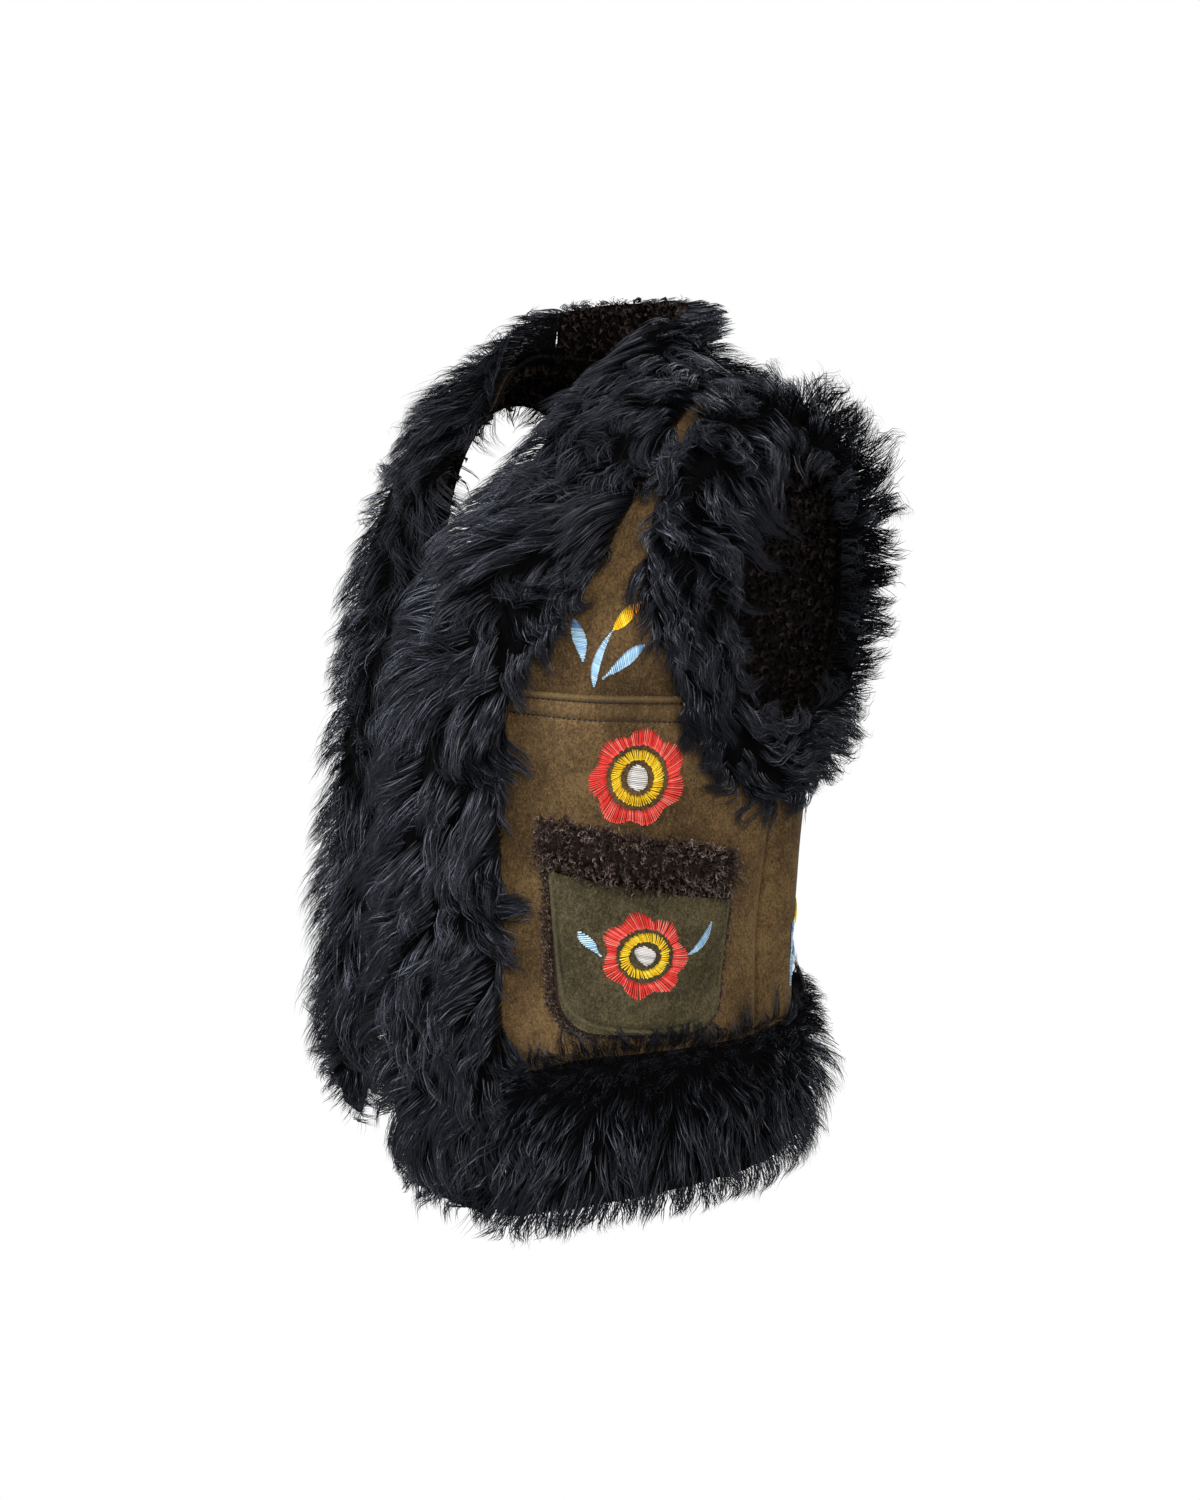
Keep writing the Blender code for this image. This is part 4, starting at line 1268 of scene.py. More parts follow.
def pocket_rise(x, up):
    """How far the pocket's suede stands off the hide: a turned edge, a seam pulled in, and a soft crown."""
    half = np.maximum(suede_half_width(np.maximum(up, PILE_SHOWS_BELOW)), 0.001)
    from_side, from_foot = half - np.abs(x), up - PILE_SHOWS_BELOW
    corner = 0.012
    edge = np.maximum(0.0, -corner * np.log(np.exp(-from_side / corner) + np.exp(-from_foot / corner)))
    edge = np.minimum(edge, np.minimum(from_side, from_foot).clip(0))
    rise = between(POCKET_EDGE_RISE, POCKET_THICK - 0.0012, smooth_step(edge / 0.010))
    rise = rise + mound(edge, 1.1, 2.2 * MM, 2.2 * MM) - mound(edge, 1.1, 4.9 * MM, 1.5 * MM)
    crown = 0.0022 * bump(x / 0.080) * bump((up - 0.055) / 0.085)
    sag = 0.0009 * np.sin(x * 70.0 + 1.0) * np.sin(up * 52.0)
    return rise + crown + sag * smooth_step(edge / 0.020), edge


def pocket_suede(wearer_side):
    """The pocket's suede, its grid finer at the sides and at the foot, rubbed most at the foot's edge."""

    def place(across, up):
        share = crowded(face_out(wearer_side, across), 0.72)
        above = between(PILE_SHOWS_BELOW, POCKET_HEIGHT, up**1.5)
        x = (2 * share - 1) * suede_half_width(above)
        rise, edge = pocket_rise(x, above)
        rubbed = between(0.30, 0.85, smooth_step(1 - above / 0.030))
        wear_and_highlight = rubbed * bump((edge - 1.8 * MM) / (1.8 * MM))
        return pocket_place(wearer_side, x + suede_shift(above), above, rise), wear_and_highlight

    return cloth(f"pocket_suede_{wearer_side}", 46, 50, place, SUEDE_WALL, ("pocket_suede", "wool_skin"))


def wool_edges(up):
    """Where the pocket's wool ends towards the front and towards the side, up metres above its foot."""
    half, lean = pocket_half_width(up), 1 - up / POCKET_HEIGHT
    return WOOL_SHIFT_FRONT * lean - half, WOOL_SHIFT_SIDE * lean + half


def pocket_wool(wearer_side, seed):
    """The pocket's wool slab with curls standing out all round its rim."""
    rng = np.random.default_rng(seed)
    columns, rows = 20, 22
    across, up = np.meshgrid(np.linspace(0, 1, columns), np.linspace(0, 1, rows) ** 1.3, indexing="ij")
    above = up * POCKET_HEIGHT
    front, side = wool_edges(above)
    x = between(front + 0.005, side - 0.003, across)
    edge = np.minimum(1 - np.abs(2 * across - 1), up)
    top = between(0.0014, POCKET_EDGE_RISE - 0.0012, smooth_step(edge / 0.06))
    over = pocket_place(wearer_side, x, above, top)
    under = pocket_place(wearer_side, x, above, np.full_like(top, 0.0006))
    slab = closed_slab(over, under)

    # A curl's place round the rim: up the front side, up the other, then along the foot
    rim = rng.random(RIM_CURLS)
    inset = rng.random(RIM_CURLS)
    straight = POCKET_HEIGHT / (2 * POCKET_HEIGHT + POCKET_FOOT_WIDTH)
    above = np.where(rim < 2 * straight, POCKET_HEIGHT * (rim / straight % 1.0), RIM_DEPTH_AT_FOOT * inset)
    left = rim < straight
    foot = rim >= 2 * straight
    front, side = wool_edges(above)
    along_foot = (2 * ((rim - 2 * straight) / (1 - 2 * straight)) - 1) * POCKET_FOOT_WIDTH / 2
    x = np.where(left, front + RIM_DEPTH * inset, side - RIM_DEPTH * inset)
    x = np.where(foot, along_foot + 0.0065, x)
    past_straight = np.abs(along_foot) - (POCKET_FOOT_WIDTH / 2 - POCKET_CORNER)
    above = np.where(foot, above + rounded_off(past_straight, POCKET_CORNER), above)
    step, low, high = 0.002, np.full_like(x, 0.0012), np.full_like(x, 0.0032)
    out_x = np.where(foot, 1.2 * x / POCKET_FOOT_WIDTH, np.where(left, -1, 1))
    out_up = np.where(foot, -1, -0.2)
    root = pocket_place(wearer_side, x, above, low)
    ahead = pocket_place(wearer_side, x + step * out_x, above + step * out_up, low)
    over = pocket_place(wearer_side, x, above, high)
    lean = unit(unit(ahead - root) * 0.9 + unit(over - root) * (0.25 + 0.5 * rng.random((len(x), 1))))
    curls = curls_at(root, lean, *RIM_CURL, rng)
    return joined_mesh(f"pocket_wool_{wearer_side}", [(*slab, 0.25, 0), (*curls, 0)], ("fleece",))


def closed_slab(over, under):
    """A closed form between two grids of points of the same shape."""
    columns, rows = over.shape[:2]
    index = np.arange(columns * rows).reshape(columns, rows)
    low = index + columns * rows
    top = np.stack((index[:-1, :-1], index[1:, :-1], index[1:, 1:], index[:-1, 1:]), -1).reshape(-1, 4)
    foot = np.stack((low[:-1, :-1], low[:-1, 1:], low[1:, 1:], low[1:, :-1]), -1).reshape(-1, 4)
    rim = np.concatenate((index[:, 0], index[-1, 1:], index[-2::-1, -1], index[0, -2:0:-1]))
    ahead = np.roll(rim, -1)
    sides = np.stack((rim, rim + columns * rows, ahead + columns * rows, ahead), -1)
    return np.concatenate((over.reshape(-1, 3), under.reshape(-1, 3))), (top, foot, sides)


def curls_at(roots, leans, length, radius, rng, width=None, steps=6):
    """Small curls of fleece that stand on roots along leans, each a strip wound into part of a coil."""
    count = len(roots)
    width = sizes().curl_width if width is None else width
    numbers = rng.random((count, 5))
    helper = unit(rng.normal(size=(count, 3)))
    side = unit(np.cross(leans, helper))
    third = np.cross(leans, side)
    t = np.linspace(0, 1, steps)[None, :, None]
    turn = math.tau * ((0.9 + 0.7 * numbers[:, 0])[:, None, None] * t + numbers[:, 1][:, None, None])
    size = radius * (0.6 + 0.8 * numbers[:, 2])[:, None, None] * np.sqrt(t)
    rise = length * (0.65 + 0.5 * numbers[:, 3])[:, None, None] * t**0.85
    paths = roots[:, None] + leans[:, None] * rise
    paths = paths + size * (np.cos(turn) * side[:, None] + np.sin(turn) * third[:, None])
    taper = np.interp(np.linspace(0, 1, steps), (0, 0.3, 0.8, 1.0), (0.8, 1.0, 0.8, 0.0))
    widths = width * (0.7 + 0.6 * numbers[:, 4])
    points, faces = flat_strands(paths, side, widths, numbers[:, 4] * 3.0, taper)
    # Tones rise from root to tip; on the fleece the lighter tip colour is a painted highlight
    tones = np.clip(0.10 + 0.55 * t[..., 0] + 0.45 * (numbers[:, 2:3] - 0.4), 0, 1)
    return points, faces, strand_tones(tones)


def cuff_point(wearer_side, share, turn, seed, grow=0.0, scale=1.0):
    """A point of the fleece roll over the pocket's mouth: share along it, and the turn round it."""
    fullness = np.sqrt(np.maximum(0.0, 1 - (2 * share - 1) ** 8))
    rise = 0.53 * scale * CUFF_HEIGHT * np.cos(turn) * between(0.75, 1.0, fullness)
    lump = 1 + 0.10 * np.sin(share * 31 + 2 * turn * 10 / math.tau + seed)
    lump = lump + 0.10 * np.sin(share * 74 + 5 * turn + seed)
    swell = np.maximum(0.0, np.sin(turn)) * scale * CUFF_THICK * between(0.55, 1.0, fullness) * lump
    dip = 0.0035 * np.sin(share * 9.0 + 0.6)
    level = POCKET_TOP + 0.004 + CUFF_HEIGHT / 2 + rise + mouth_rise(share)
    level = level + dip * np.clip(-np.cos(turn), 0, 1)
    angle = angle_from_front(level, CUFF_MIDDLE + (2 * share - 1) * CUFF_HALF * between(0.97, 1.0, scale))
    return off_hide(mirrored(angle, wearer_side), level, 0.0009 + swell + grow)


def cuff_roll(wearer_side, seed):
    """The turned-over fleece as a lumpy roll, under its curls."""
    share, turn = np.meshgrid(np.linspace(0.0, 1.0, 44), math.tau * np.arange(20) / 20, indexing="ij")
    rings = cuff_point(wearer_side, share, turn, seed, scale=0.86)
    sides, ends = tube_faces(*rings.shape[:2])
    faces = [sides if wearer_side == "right" else sides[:, ::-1], *(end[:, ::-1] for end in ends)]
    return joined_mesh(f"cuff_roll_{wearer_side}", [(rings, faces, 0.15, 0)], ("fleece",))


def cuff_curls(wearer_side, seed):
    """The curls of a cuff, in clumps about 5 mm across, each a ball of curls with a dark gap round it."""
    rng = np.random.default_rng(seed)
    spacing = sizes().curl_spacing
    columns, rows = int(CUFF_LENGTH / spacing), int(CUFF_GIRTH / spacing)
    i, j = np.meshgrid(np.arange(columns), np.arange(rows), indexing="ij")
    share = (i.ravel() + rng.random(i.size)) / columns
    turn = math.radians(6) + CUFF_TURN * (j.ravel() + rng.random(i.size)) / rows
    radius, gather = CUFF_GIRTH / CUFF_TURN, 0.42
    clump_a, clump_s, numbers = tufts_near(share * CUFF_LENGTH, turn * radius, CUFF_CLUMP, rng)
    clump = numbers[:, 0]
    share, turn = between(share, clump_a / CUFF_LENGTH, gather), between(turn, clump_s / radius, gather)
    share, turn = np.clip(share, 0.003, 0.997), np.clip(turn, 0.09, 3.05)
    root = cuff_point(wearer_side, share, turn, seed, grow=0.0022 * (clump - 0.4), scale=0.98)
    out = unit(cuff_point(wearer_side, share, turn, seed, grow=0.006, scale=0.98) - root)
    over = unit(cuff_point(wearer_side, share, turn, seed, scale=1.10) - root)
    lean = unit(out + 0.6 * over + 1.5 * (numbers[:, 1:4] - 0.5) + 0.30 * rng.normal(size=(len(share), 3)))
    lower_edge = smooth_step((turn - 2.3) / 0.7)
    lean = unit(lean - 1.2 * lower_edge[:, None] * np.array((0, 0, 1)))
    points, faces, tones = curls_at(root, lean, *CUFF_CURL, rng)
    tones = np.clip(tones + np.repeat(0.42 * (clump - 0.55), len(points) // len(root)), 0, 1)
    return joined_mesh(f"cuff_curls_{wearer_side}", [(points, faces, tones, 0)], ("fleece",))


# The wool side of the hide

# From curl to curl, their length, and how far the wool stays from a panel's edges
WOOL_SPACING = 0.0080
WOOL_LENGTH = 0.0095
COLLAR_WOOL_SPACING = 0.0056
COLLAR_WOOL_LENGTH = 0.0080
WOOL_MARGIN = 0.004
WOOL_MARGIN_DEGREES = 0.6


def wool_piece(name, root, lean, length, rng, slot_name):
    """Curls of the wool side, wider than those of the cuffs, as one piece."""
    curls = curls_at(root, lean, length, 0.0026, rng, width=0.0036, steps=5)
    return settle(joined_mesh(name, [(*curls, 0)], ("inner_wool",)), slot_name)


def wool_tufts(name, angle, level, seed):
    """Short curly wool on the hide's inner face, standing into the hollow."""
    rng = np.random.default_rng(seed)
    inner = panel_inner(angle, level)
    root = off_hide(angle, level, inner)
    lean = unit(off_hide(angle, level, inner - 0.002) - root)
    lean = unit(lean + 0.4 * unit(rng.normal(size=lean.shape)) + np.array((0, 0, -0.4)))
    return wool_piece(name, root, lean, WOOL_LENGTH, rng, "brown_curly_fleece")


def collar_wool(seed):
    """The same wool inside the collar, on the back of its strip."""
    rng = np.random.default_rng(seed)
    strip = Strip(COLLAR_STATIONS, "collar", False)
    along, across = (values[:, None] for values in roots_on(strip, COLLAR_WOOL_SPACING, rng))
    root = strip.place(along, across, np.full_like(along, 0.0002))[0][:, 0]
    lean = unit(strip.place(along, across, np.full_like(along, -0.0020))[0][:, 0] - root)
    lean = unit(lean + 0.5 * unit(rng.normal(size=lean.shape)))
    return wool_piece("wool_collar", root, lean, COLLAR_WOOL_LENGTH, rng, "black_long_fur")


def front_span(level):
    """Where the wool of a front and its yoke starts and stops round the ring."""
    return front_edge(level) + WOOL_MARGIN_DEGREES, side_edge(level, True) - WOOL_MARGIN_DEGREES


def back_span(level):
    edge = side_edge(level, False) + WOOL_MARGIN_DEGREES
    return edge, 360 - edge


def panel_inner(angle, level):
    """How far in the hide's inner face lies."""
    sunk = np.where(np.abs((angle + 180) % 360 - 180) < SIDE_SEAM, yoke_sink(level), 0.0)
    return np.where(level > YOKE_SEAM, sunk, 0.0) - HIDE + 0.0002


def scattered(span, seed):
    """Angles and levels all over the panels of a span, about one in each square of the wool's spacing."""
    rng = np.random.default_rng(seed)
    low, high = HIDE_HEM + WOOL_MARGIN, NECK - WOOL_MARGIN
    rows = int((climb_to(high) - climb_to(low)) / WOOL_SPACING)
    angles, levels = [], []
    for row in range(rows):
        level = float(levels_over(low, high, (row + 0.5) / rows))
        start, stop = (float(edge) for edge in span(np.array(level)))
        halfway = min(stop, 180.0)
        length = abs(float(metres_from_front(level, halfway) - metres_from_front(level, start)))
        length *= (stop - start) / max(halfway - start, 1e-6)
        many = int(length / WOOL_SPACING)
        angles.append(between(start, stop, (np.arange(many) + rng.random(many)) / max(many, 1)))
        levels.append(levels_over(low, high, (row + rng.random(many)) / rows))
    return np.concatenate(angles), np.concatenate(levels)


# Stitches


def stitch_shape():
    """One seam stitch, modelled once: a plump grain along X."""
    deselect()
    bpy.ops.mesh.primitive_uv_sphere_add(segments=6, ring_count=5, radius=0.5)
    grain = bpy.context.active_object
    bpy.ops.object.mode_set(mode="EDIT")
    bpy.ops.mesh.select_all(action="SELECT")
    bpy.ops.transform.rotate(value=math.pi / 2, orient_axis="Y", center_override=(0.0, 0.0, 0.0))
    bpy.ops.transform.resize(value=(3.2 * MM, 1.7 * MM, 1.0 * MM), center_override=(0.0, 0.0, 0.0))
    bpy.ops.object.mode_set(mode="OBJECT")
    points = np.array([v.co[:] for v in grain.data.vertices])
    faces = [list(p.vertices) for p in grain.data.polygons]
    bpy.data.objects.remove(grain)
    return points, [[f for f in faces if len(f) == 3], [f for f in faces if len(f) == 4]]


def copies(shape, places, runs, outs):
    """Copies of a shape, its X along runs and its Z along outs, as one shape."""
    points, face_lists = shape
    runs, outs = unit(runs), unit(outs)
    axes = np.stack((runs, np.cross(outs, runs), outs), axis=1)
    moved = np.einsum("pk,nkd->npd", points, axes) + places[:, None, :]
    firsts = np.arange(len(places))[:, None, None] * len(points)
    joined = [(np.array(faces)[None] + firsts).reshape(-1, len(faces[0])) for faces in face_lists if faces]
    return moved.reshape(-1, 3), joined


def seam_rows(wearer_side, shape):
    """The two rows of stitches under the yoke's seam, each a little out of line, as sewn by hand."""
    rng = np.random.default_rng(5)
    margin, uneven, proud = 0.006, 0.00012, 0.00030
    found = []
    for depth in (TOP_STITCH, SECOND_STITCH):
        level = float(level_up(YOKE_SEAM, -depth))
        start = float(metres_from_front(level, front_edge(np.array(level)))) + margin
        stop = float(metres_from_front(level, side_edge(np.array(level), True))) - margin
        metres = np.arange(start, stop, sizes().stitch_pitch)
        metres = metres + rng.normal(size=len(metres)) * uneven
        levels = np.full(len(metres), level) + rng.normal(size=len(metres)) * uneven
        angle = mirrored(angle_from_front(levels, metres), wearer_side)
        relief = panel_relief(np.abs(angle), levels) + proud
        centre = off_hide(angle, levels, relief)
        ahead = off_hide(angle + 0.3, levels + 0.00008, relief)
        found.append((*copies(shape, centre, ahead - centre, hide_normal(angle, levels)), 0.5, 0))
    piece = joined_mesh(f"stitches_{wearer_side}", found, ("seam_thread",))
    return settle(piece, "olive_suede")


# Embroidery: every strand is a small closed rib, laid across the motif as satin stitch

# How far the back's motifs lie off the plain hide, and from strand to strand in thread widths
BACK_CLEARANCE = 0.9 * MM
STITCH_PITCH = 1.06
LEAF_PITCH = 1.10
HEART_PITCH = 0.95


def hide_ground(wearer_side, angle, level, squeeze=1.0):
    """A motif's own plane on a front or the back: x towards the side, y up, in metres from its middle."""
    middle = float(metres_from_front(level, angle))

    def place(x, y, rise):
        levels = level_up(level, y)
        angles = angle_from_front(levels, middle + squeeze * x)
        relief = panel_relief(angles, levels) if angle < SIDE_SEAM else BACK_CLEARANCE
        return off_hide(mirrored(angles, wearer_side), levels, relief + rise)

    return place


def leaning(place, lean):
    """The same plane with what stands on it leaning over."""
    return lambda x, y, rise: place(x + lean * y, y, rise)


def pocket_ground(wearer_side, x0, up0, squeeze):
    """The same for a motif on a pocket."""

    def place(x, y, rise):
        beside = x0 + squeeze * x
        stands = pocket_rise(beside, up0 + y)[0]
        return pocket_place(wearer_side, beside + suede_shift(up0 + y), up0 + y, stands + rise)

    return place


def strands(place, starts, ends, seed, crown=0.0013, flip=False):
    """Ribs from starts to ends, which sink into the ground at both ends and stand proud in the middle."""
    rng = np.random.default_rng(seed)
    count, steps = len(starts), 5
    numbers = rng.random((count, 3))
    t = np.linspace(0, 1, steps)[None, :]
    x = between(starts[:, :1], ends[:, :1], t)
    y = between(starts[:, 1:], ends[:, 1:], t)
    run = unit(ends - starts)
    half = 0.5 * sizes().thread_width * (0.9 + 0.2 * numbers[:, :1])
    side_x, side_y = -run[:, 1:] * half, run[:, :1] * half
    arch = crown * (0.85 + 0.3 * numbers[:, 1:2]) * np.sin(np.pi * between(0.05, 0.95, t)) ** 0.6
    foot, top = np.maximum(arch - 0.0007, -0.0002), arch + 0.0001
    ring = np.stack(
        (place(x - side_x, y - side_y, foot), place(x, y, top), place(x + side_x, y + side_y, foot)), axis=2
    )
    points = ring.reshape(-1, 3)
    firsts = (np.arange(count)[:, None, None] * steps + np.arange(steps - 1)[None, :, None]) * 3
    k = np.arange(3)[None, None, :]
    beside = (k + 1) % 3
    order = (firsts + k, firsts + k + 3, firsts + beside + 3, firsts + beside)
    sides = np.stack(order if flip else order[::-1], axis=-1).reshape(-1, 4)
    first, last = np.arange(count) * steps * 3, (np.arange(count) * steps + steps - 1) * 3
    caps = [np.stack((first, first + 1, first + 2), -1), np.stack((last + 2, last + 1, last), -1)]
    tones = np.repeat(0.30 + 0.65 * numbers[:, 2], steps * 3)
    return points, (sides, np.concatenate(caps)), tones


def oval(long, short, tilt):
    """The outline of an oval, as its radius in each direction."""
    return lambda turn: 1 / np.hypot(np.cos(turn - tilt) / long, np.sin(turn - tilt) / short)


def petals(radius, depth, first):
    """A wavy outline of seven lobes, one of them in the direction first."""

    def outline(turn):
        lobes = 2 * np.abs(np.cos(3.5 * (turn - first))) ** 1.3 - 1.1
        uneven = 0.02 * np.sin(2 * turn + first) + 0.012 * np.sin(3 * turn + 1.7)
        return radius * (1 + depth * lobes + uneven)

    return outline


def ring_strands(place, inner, outer, slant, seed, crown, flip):
    """A ring of satin stitch between two outlines, each a function of the direction."""
    turns = np.linspace(0, math.tau, 60)
    mean = float(np.mean(inner(turns)) + np.mean(outer(turns))) / 2
    count = int(math.tau * mean / (STITCH_PITCH * sizes().thread_width))
    rng = np.random.default_rng(seed)
    turn = math.tau * (np.arange(count) + 0.3 * rng.random(count)) / count
    ragged = rng.normal(size=(2, count)) * 0.00045
    slants = slant * (1 + 0.8 * np.sin(2 * turn + seed))
    spots = []
    for radius, at in ((inner(turn) + ragged[0], turn), (outer(turn + slants) + ragged[1], turn + slants)):
        spots.append(np.stack((radius * np.cos(at), radius * np.sin(at)), 1))
    return strands(place, spots[0], spots[1], seed, crown, flip)


def flower(place, radius, depth, first, stretch, tilt, seed, flip):
    """A seven-lobed red ring round a yellow ring and a white heart, ovals of one stretch and tilt."""
    long, short = radius * math.sqrt(stretch), radius / math.sqrt(stretch)
    gap = 1 + 0.3 * (stretch - 1)
    red_inside, yellow_inside, yellow_outside = 0.69 * radius, 0.375, 0.585
    yellow = (oval(share * long, share * short, tilt) for share in (yellow_inside, yellow_outside))
    rings = (
        (oval(red_inside * gap, red_inside / gap, tilt), petals(radius, depth, first), 0.07, 0.0013),
        (*yellow, 0.12, 0.0012),
    )
    shapes = []
    for number, (inner, outer, slant, crown) in enumerate(rings):
        shapes.append((*ring_strands(place, inner, outer, slant, seed + number, crown, flip), number))
    rows = int(0.50 * radius / (HEART_PITCH * sizes().thread_width))
    heart = oval(0.26 * long, 0.225 * short, tilt)
    y = np.linspace(-0.98, 0.98, rows) * float(heart(np.array(math.pi / 2)))
    turns = np.arcsin(y / y.max() * 0.97)
    x = np.maximum(0.001, heart(turns) * np.cos(turns))
    slant = 0.0007
    starts, ends = np.stack((-x, y + slant), 1), np.stack((x, y - slant), 1)
    shapes.append((*strands(place, starts, ends, seed + 2, 0.0012, flip), 2))
    return shapes


def leaf(place, spine, half_width, fullest, seed, flip, finishes, tip_from=0.74):
    """A leaf, stem or bud: slanting satin stitch across a bent spine, its tip in the second finish."""
    spine = np.array(spine) * MM
    t = np.linspace(0, 1, 200)[:, None]
    path = (1 - t) ** 2 * spine[0] + 2 * t * (1 - t) * spine[1] + t**2 * spine[2]
    length = float(np.linalg.norm(np.diff(path, axis=0), axis=1).sum())
    count = max(6, int(length / (LEAF_PITCH * sizes().thread_width)))
    share = (np.arange(count) + 0.5) / count
    middle = np.stack([np.interp(share, t[:, 0], path[:, k]) for k in (0, 1)], 1)
    run = unit(np.stack([np.interp(share, t[:, 0], np.gradient(path[:, k])) for k in (0, 1)], 1))
    across = np.stack((-run[:, 1], run[:, 0]), 1)
    rng = np.random.default_rng(seed)
    warped = share ** (math.log(0.5) / math.log(fullest))
    half = half_width * MM * np.clip(np.sin(np.pi * warped), 0.10, 1) ** 0.8
    half = (half + rng.normal(size=count) * 0.00015)[:, None]
    starts, ends = middle - across * half - run * half * 0.55, middle + across * half + run * half * 0.55
    tip = share > tip_from
    shapes = []
    for chosen, number in ((~tip, finishes[0]), (tip, finishes[1])):
        if chosen.any():
            made = strands(place, starts[chosen], ends[chosen], seed + number, 0.0011, flip)
            shapes.append((*made, number))
    return shapes


def sprig(place, seed, flip):
    """A bent stem with a bud and two leaves, in millimetres from its foot."""
    parts = (
        (((0, 1), (-4.5, 25.5), (7, 50)), 3.2, 0.42, (0, 0), 0.74),
        (((7, 50), (14, 63), (27, 73.5)), 5.8, 0.45, (2, 3), 0.62),
        (((-11.5, 22.5), (-16.5, 42), (-25.5, 61)), 5.1, 0.55, (0, 1), 0.78),
        (((5.5, 8), (21, 26), (33, 36)), 5.3, 0.60, (0, 1), 0.84),
    )
    shapes = []
    for number, (spine, half_width, fullest, finishes, tip_from) in enumerate(parts):
        shapes += leaf(place, spine, half_width, fullest, seed + 3 * number, flip, finishes, tip_from)
    return shapes


SPRIG_THREADS = ("blue", "deep_blue", "yellow", "orange")
FLOWER_THREADS = ("red", "yellow", "white", "blue", "deep_blue")


# Operators


class VestOperator(bpy.types.Operator):
    """What every operator of the vest shares."""

    bl_options = {"REGISTER", "UNDO"}


class VEST_OT_hide(VestOperator):
    """Makes the hide panels: two lower fronts, two yokes and the back"""

    bl_idname = "vest.hide"
    bl_label = "Hide panels"

    def execute(self, context):
        for wearer_side in SIDES:
            front = settle(front_panel(wearer_side), "olive_suede", f"front_{wearer_side}")
            yoke = settle(yoke_panel(wearer_side), "olive_suede", f"yoke_{wearer_side}")
        back = settle(back_panel(), "olive_suede", "back")
        return {"FINISHED"}


class VEST_OT_wool(VestOperator):
    """Makes the short curly wool on the inner face of the hide"""

    bl_idname = "vest.wool"
    bl_label = "Wool side"

    def execute(self, context):
        for number, wearer_side in enumerate(SIDES):
            angle, level = scattered(front_span, 11 + number)
            wool_tufts(f"wool_front_{wearer_side}", mirrored(angle, wearer_side), level, 21 + number)
        wool_tufts("wool_back", *scattered(back_span, 13), 23)
        collar_wool(14)
        return {"FINISHED"}


class VEST_OT_pockets(VestOperator):
    """Makes the patch pockets: suede with a turned edge over a slab of wool"""

    bl_idname = "vest.pockets"
    bl_label = "Pockets"

    def execute(self, context):
        for number, wearer_side in enumerate(SIDES):
            suede = settle(pocket_suede(wearer_side), "dark_olive_suede", f"pocket_{wearer_side}")
            wool = settle(pocket_wool(wearer_side, 31 + number), "brown_curly_fleece")
        return {"FINISHED"}


class VEST_OT_cuffs(VestOperator):
    """Makes the rolls of curly fleece over the pockets' mouths"""

    bl_idname = "vest.cuffs"
    bl_label = "Fleece cuffs"

    def execute(self, context):
        for number, wearer_side in enumerate(SIDES):
            roll = settle(cuff_roll(wearer_side, 1.3 * number), "brown_curly_fleece")
            settle(cuff_curls(wearer_side, 41 + number), "brown_curly_fleece", f"cuff_{wearer_side}")
        return {"FINISHED"}


class VEST_OT_stitches(VestOperator):
    """Makes the two rows of stitches under each yoke"""

    bl_idname = "vest.stitches"
    bl_label = "Seam stitches"

    def execute(self, context):
        shape = stitch_shape()
        for wearer_side in SIDES:
            seam_rows(wearer_side, shape)
        return {"FINISHED"}


class VEST_OT_embroidery(VestOperator):
    """Makes the embroidered flowers, leaves and sprigs, strand by strand"""

    bl_idname = "vest.embroidery"
    bl_label = "Embroidery"

    def execute(self, context):
        for wearer_side in SIDES:
            flip = wearer_side == "right"
            chest = hide_ground(wearer_side, 63.0, -0.304, squeeze=0.93)
            pocket = pocket_ground(wearer_side, 0.0, 0.070, squeeze=0.955)
            yoke = hide_ground(wearer_side, 49.4, -0.233)
            back = leaning(hide_ground(wearer_side, 119.5, -0.494), 0.20)
            on_chest = flower(chest, sizes().chest_flower, 0.073, 0.59, 1.06, 1.9, 51, flip)
            on_pocket = flower(pocket, sizes().pocket_flower, 0.090, 0.02, 1.20, 0.58, 61, flip)
            on_pocket += leaf(pocket, ((-34.5, -4), (-42, 2), (-52, 13)), 4.6, 0.68, 66, flip, (3, 3))
            on_pocket += leaf(pocket, ((36, 3), (51, 12), (57, 33)), 2.9, 0.50, 69, flip, (3, 3))
            motifs = (
                ("chest_flower", on_chest, FLOWER_THREADS, "olive_suede"),
                ("pocket_flower", on_pocket, FLOWER_THREADS, "dark_olive_suede"),
                ("yoke_sprig", sprig(yoke, 71, flip), SPRIG_THREADS, "olive_suede"),
                ("back_sprig", sprig(back, 81, flip), SPRIG_THREADS, "olive_suede"),
            )
            for name, shapes, threads, slot_name in motifs:
                settle(joined_mesh(f"{name}_{wearer_side}", shapes, threads), slot_name)
        return {"FINISHED"}


class VEST_OT_fur(VestOperator):
    """Makes the long-haired bands at the fronts, collar, armholes and hem"""

    bl_idname = "vest.fur"
    bl_label = "Fur bands"

    def execute(self, context):
        for row in FUR_BANDS:
            fur_band(*row)
        return {"FINISHED"}


# The stage

CAMERA_AZIMUTH, CAMERA_ELEVATION, CAMERA_ROLL = 55.0, 12.0, 5.2
CAMERA_DISTANCE = 1.70
CAMERA_TARGET = (-0.008, 0.0, -0.333)
PHOTO_WIDTH, PHOTO_HEIGHT, FOCAL_PIXELS = 1200, 1500, 1945
SENSOR = 36.0


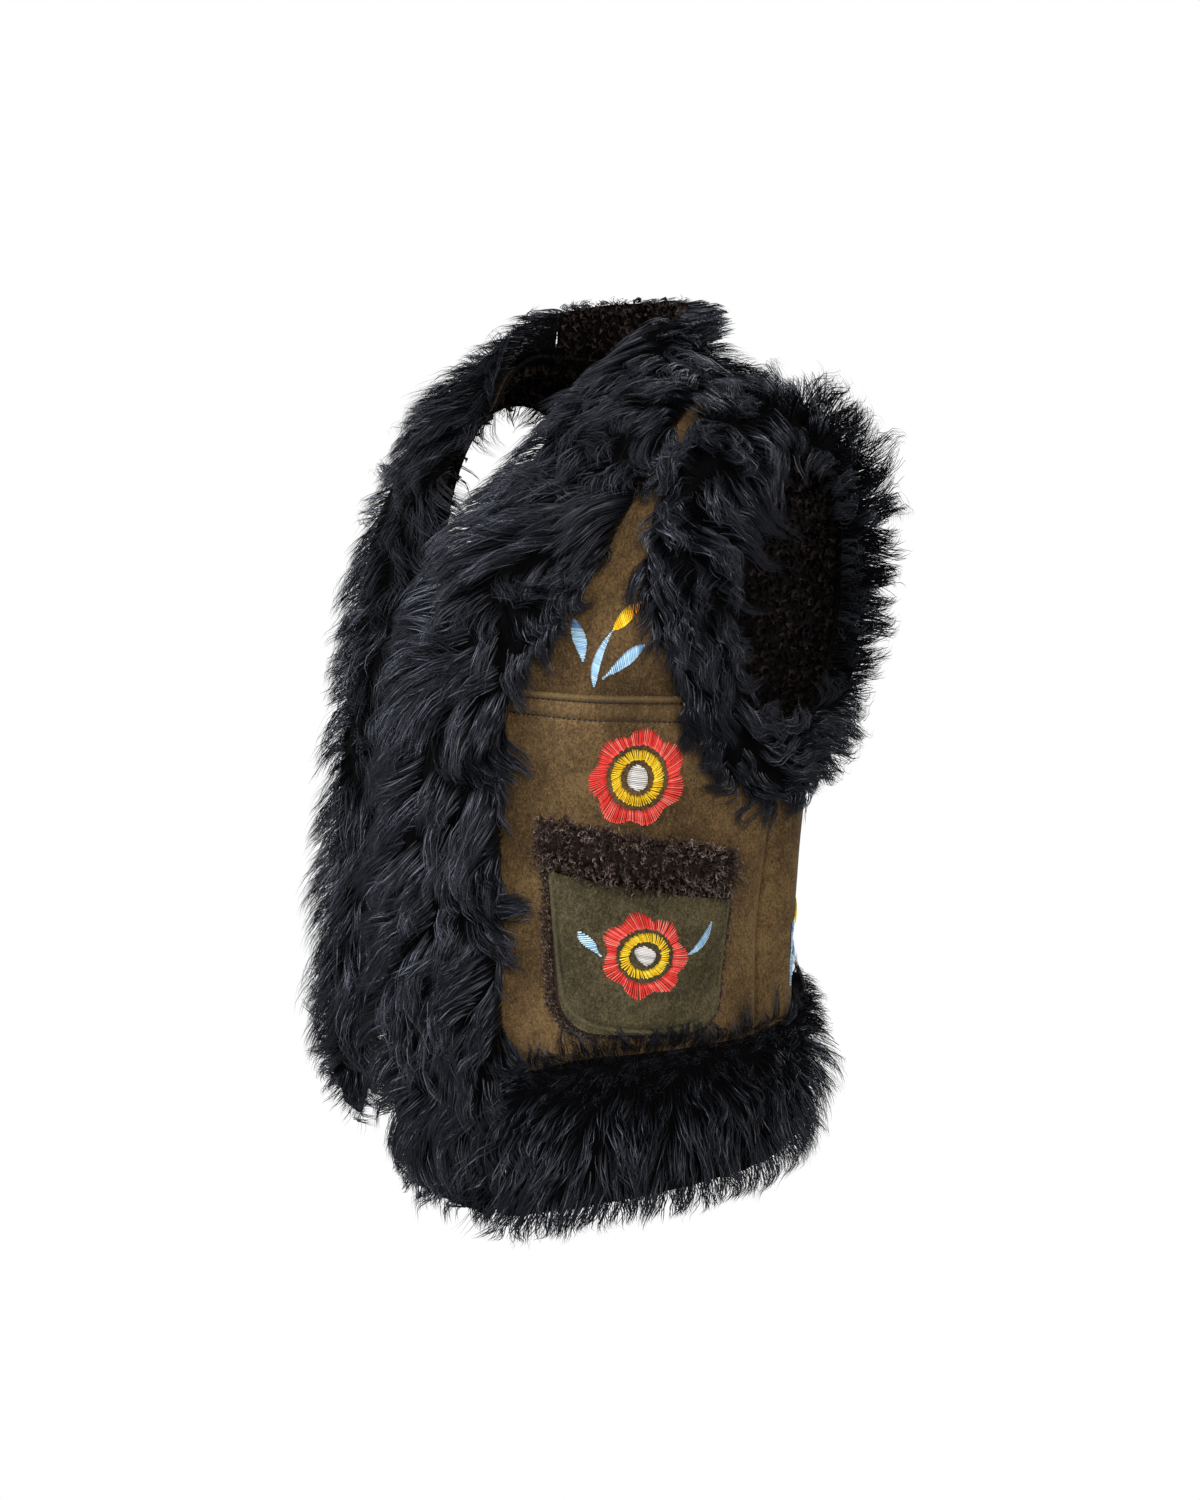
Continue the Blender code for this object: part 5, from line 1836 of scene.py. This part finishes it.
def turned_to(back, roll_degrees):
    """The rotation of a camera or light whose back is turned to that direction, rolled about it."""
    back = Vector(back).normalized()
    right = Vector((0, 0, 1)).cross(back).normalized()
    up = back.cross(right)
    roll = math.radians(roll_degrees)
    rolled = math.cos(roll) * right + math.sin(roll) * up
    upright = -math.sin(roll) * right + math.cos(roll) * up
    return Matrix((rolled, upright, back)).transposed()


def soft_light(name, place, size, watts, code):
    """A large soft square light that faces the vest's middle."""
    deselect()
    turn = turned_to(Vector(place) - Vector(CAMERA_TARGET), 0.0).to_euler()
    bpy.ops.object.light_add(type="AREA", location=place, rotation=turn)
    light = bpy.context.active_object
    light.name = name
    light.data.shape = "SQUARE"
    light.data.size = size
    light.data.energy = watts
    light.data.color = linear(code)


class VEST_OT_stage(VestOperator):
    """Makes the plain white surround, the soft light and the camera"""

    bl_idname = "vest.stage"
    bl_label = "Stage"

    def execute(self, context):
        scene = context.scene
        deselect()
        world = bpy.data.worlds.new("studio")
        scene.world = world
        world.use_nodes = True
        tree = world.node_tree
        sky = tree.nodes["Background"]
        feed(tree, sky, {"Color": opaque("#eef2fa"), "Strength": 0.50})
        seen = add_node(tree, "ShaderNodeBackground", {"Color": (1.0, 1.0, 1.0, 1.0), "Strength": 1.0})
        eye = add_node(tree, "ShaderNodeLightPath").outputs["Is Camera Ray"]
        parts = {"Fac": eye, 1: sky.outputs["Background"], 2: seen.outputs["Background"]}
        both = add_node(tree, "ShaderNodeMixShader", parts)
        feed(tree, tree.nodes["World Output"], {"Surface": both.outputs["Shader"]})

        soft_light("key", (-0.5, -2.1, 1.1), 1.1, 86.0, "#f5f7ff")
        soft_light("side", (2.1, -0.8, 0.9), 1.2, 44.0, "#fffaf5")
        soft_light("top", (0.1, 0.3, 2.0), 1.2, 28.0, "#eef3ff")
        soft_light("rear", (-0.6, 2.1, 0.9), 1.4, 24.0, "#f3f6ff")

        turn, rise = math.radians(CAMERA_AZIMUTH), math.radians(CAMERA_ELEVATION)
        back = (math.sin(turn) * math.cos(rise), -math.cos(turn) * math.cos(rise), math.sin(rise))
        eye_at = Vector(CAMERA_TARGET) + CAMERA_DISTANCE * Vector(back)
        rotation = turned_to(back, CAMERA_ROLL).to_euler()
        bpy.ops.object.camera_add(location=eye_at, rotation=rotation)
        camera = bpy.context.active_object
        camera.data.sensor_width = SENSOR
        camera.data.lens = FOCAL_PIXELS / max(PHOTO_WIDTH, PHOTO_HEIGHT) * SENSOR
        camera.data.clip_start, camera.data.clip_end = 0.05, 100.0
        scene.camera = camera
        scene.view_settings.view_transform = "Standard"
        return {"FINISHED"}


STEPS = (
    VEST_OT_stage,
    VEST_OT_hide,
    VEST_OT_wool,
    VEST_OT_pockets,
    VEST_OT_cuffs,
    VEST_OT_stitches,
    VEST_OT_embroidery,
    VEST_OT_fur,
)


class VEST_PT_panel(bpy.types.Panel):
    """Lists the vest's sizes, colours and steps"""

    bl_idname = "VEST_PT_panel"
    bl_label = "Shearling Vest"
    bl_space_type = "VIEW_3D"
    bl_region_type = "UI"
    bl_category = "Vest"

    def draw(self, context):
        for group in (context.scene.vest_sizes, context.scene.vest_colours):
            box = self.layout.box()
            for name in group.__annotations__:
                box.prop(group, name)
        for step in STEPS:
            self.layout.operator(step.bl_idname)


CLASSES = (VestColours, VestSizes, *STEPS, VEST_PT_panel)


def register():
    for each in CLASSES:
        bpy.utils.register_class(each)
    bpy.types.Scene.vest_colours = bpy.props.PointerProperty(type=VestColours)
    bpy.types.Scene.vest_sizes = bpy.props.PointerProperty(type=VestSizes)


def unregister():
    del bpy.types.Scene.vest_sizes
    del bpy.types.Scene.vest_colours
    for each in reversed(CLASSES):
        bpy.utils.unregister_class(each)


def main():
    register()
    for step in STEPS:
        group, name = step.bl_idname.split(".")
        getattr(getattr(bpy.ops, group), name)()


if __name__ == "__main__":
    main()
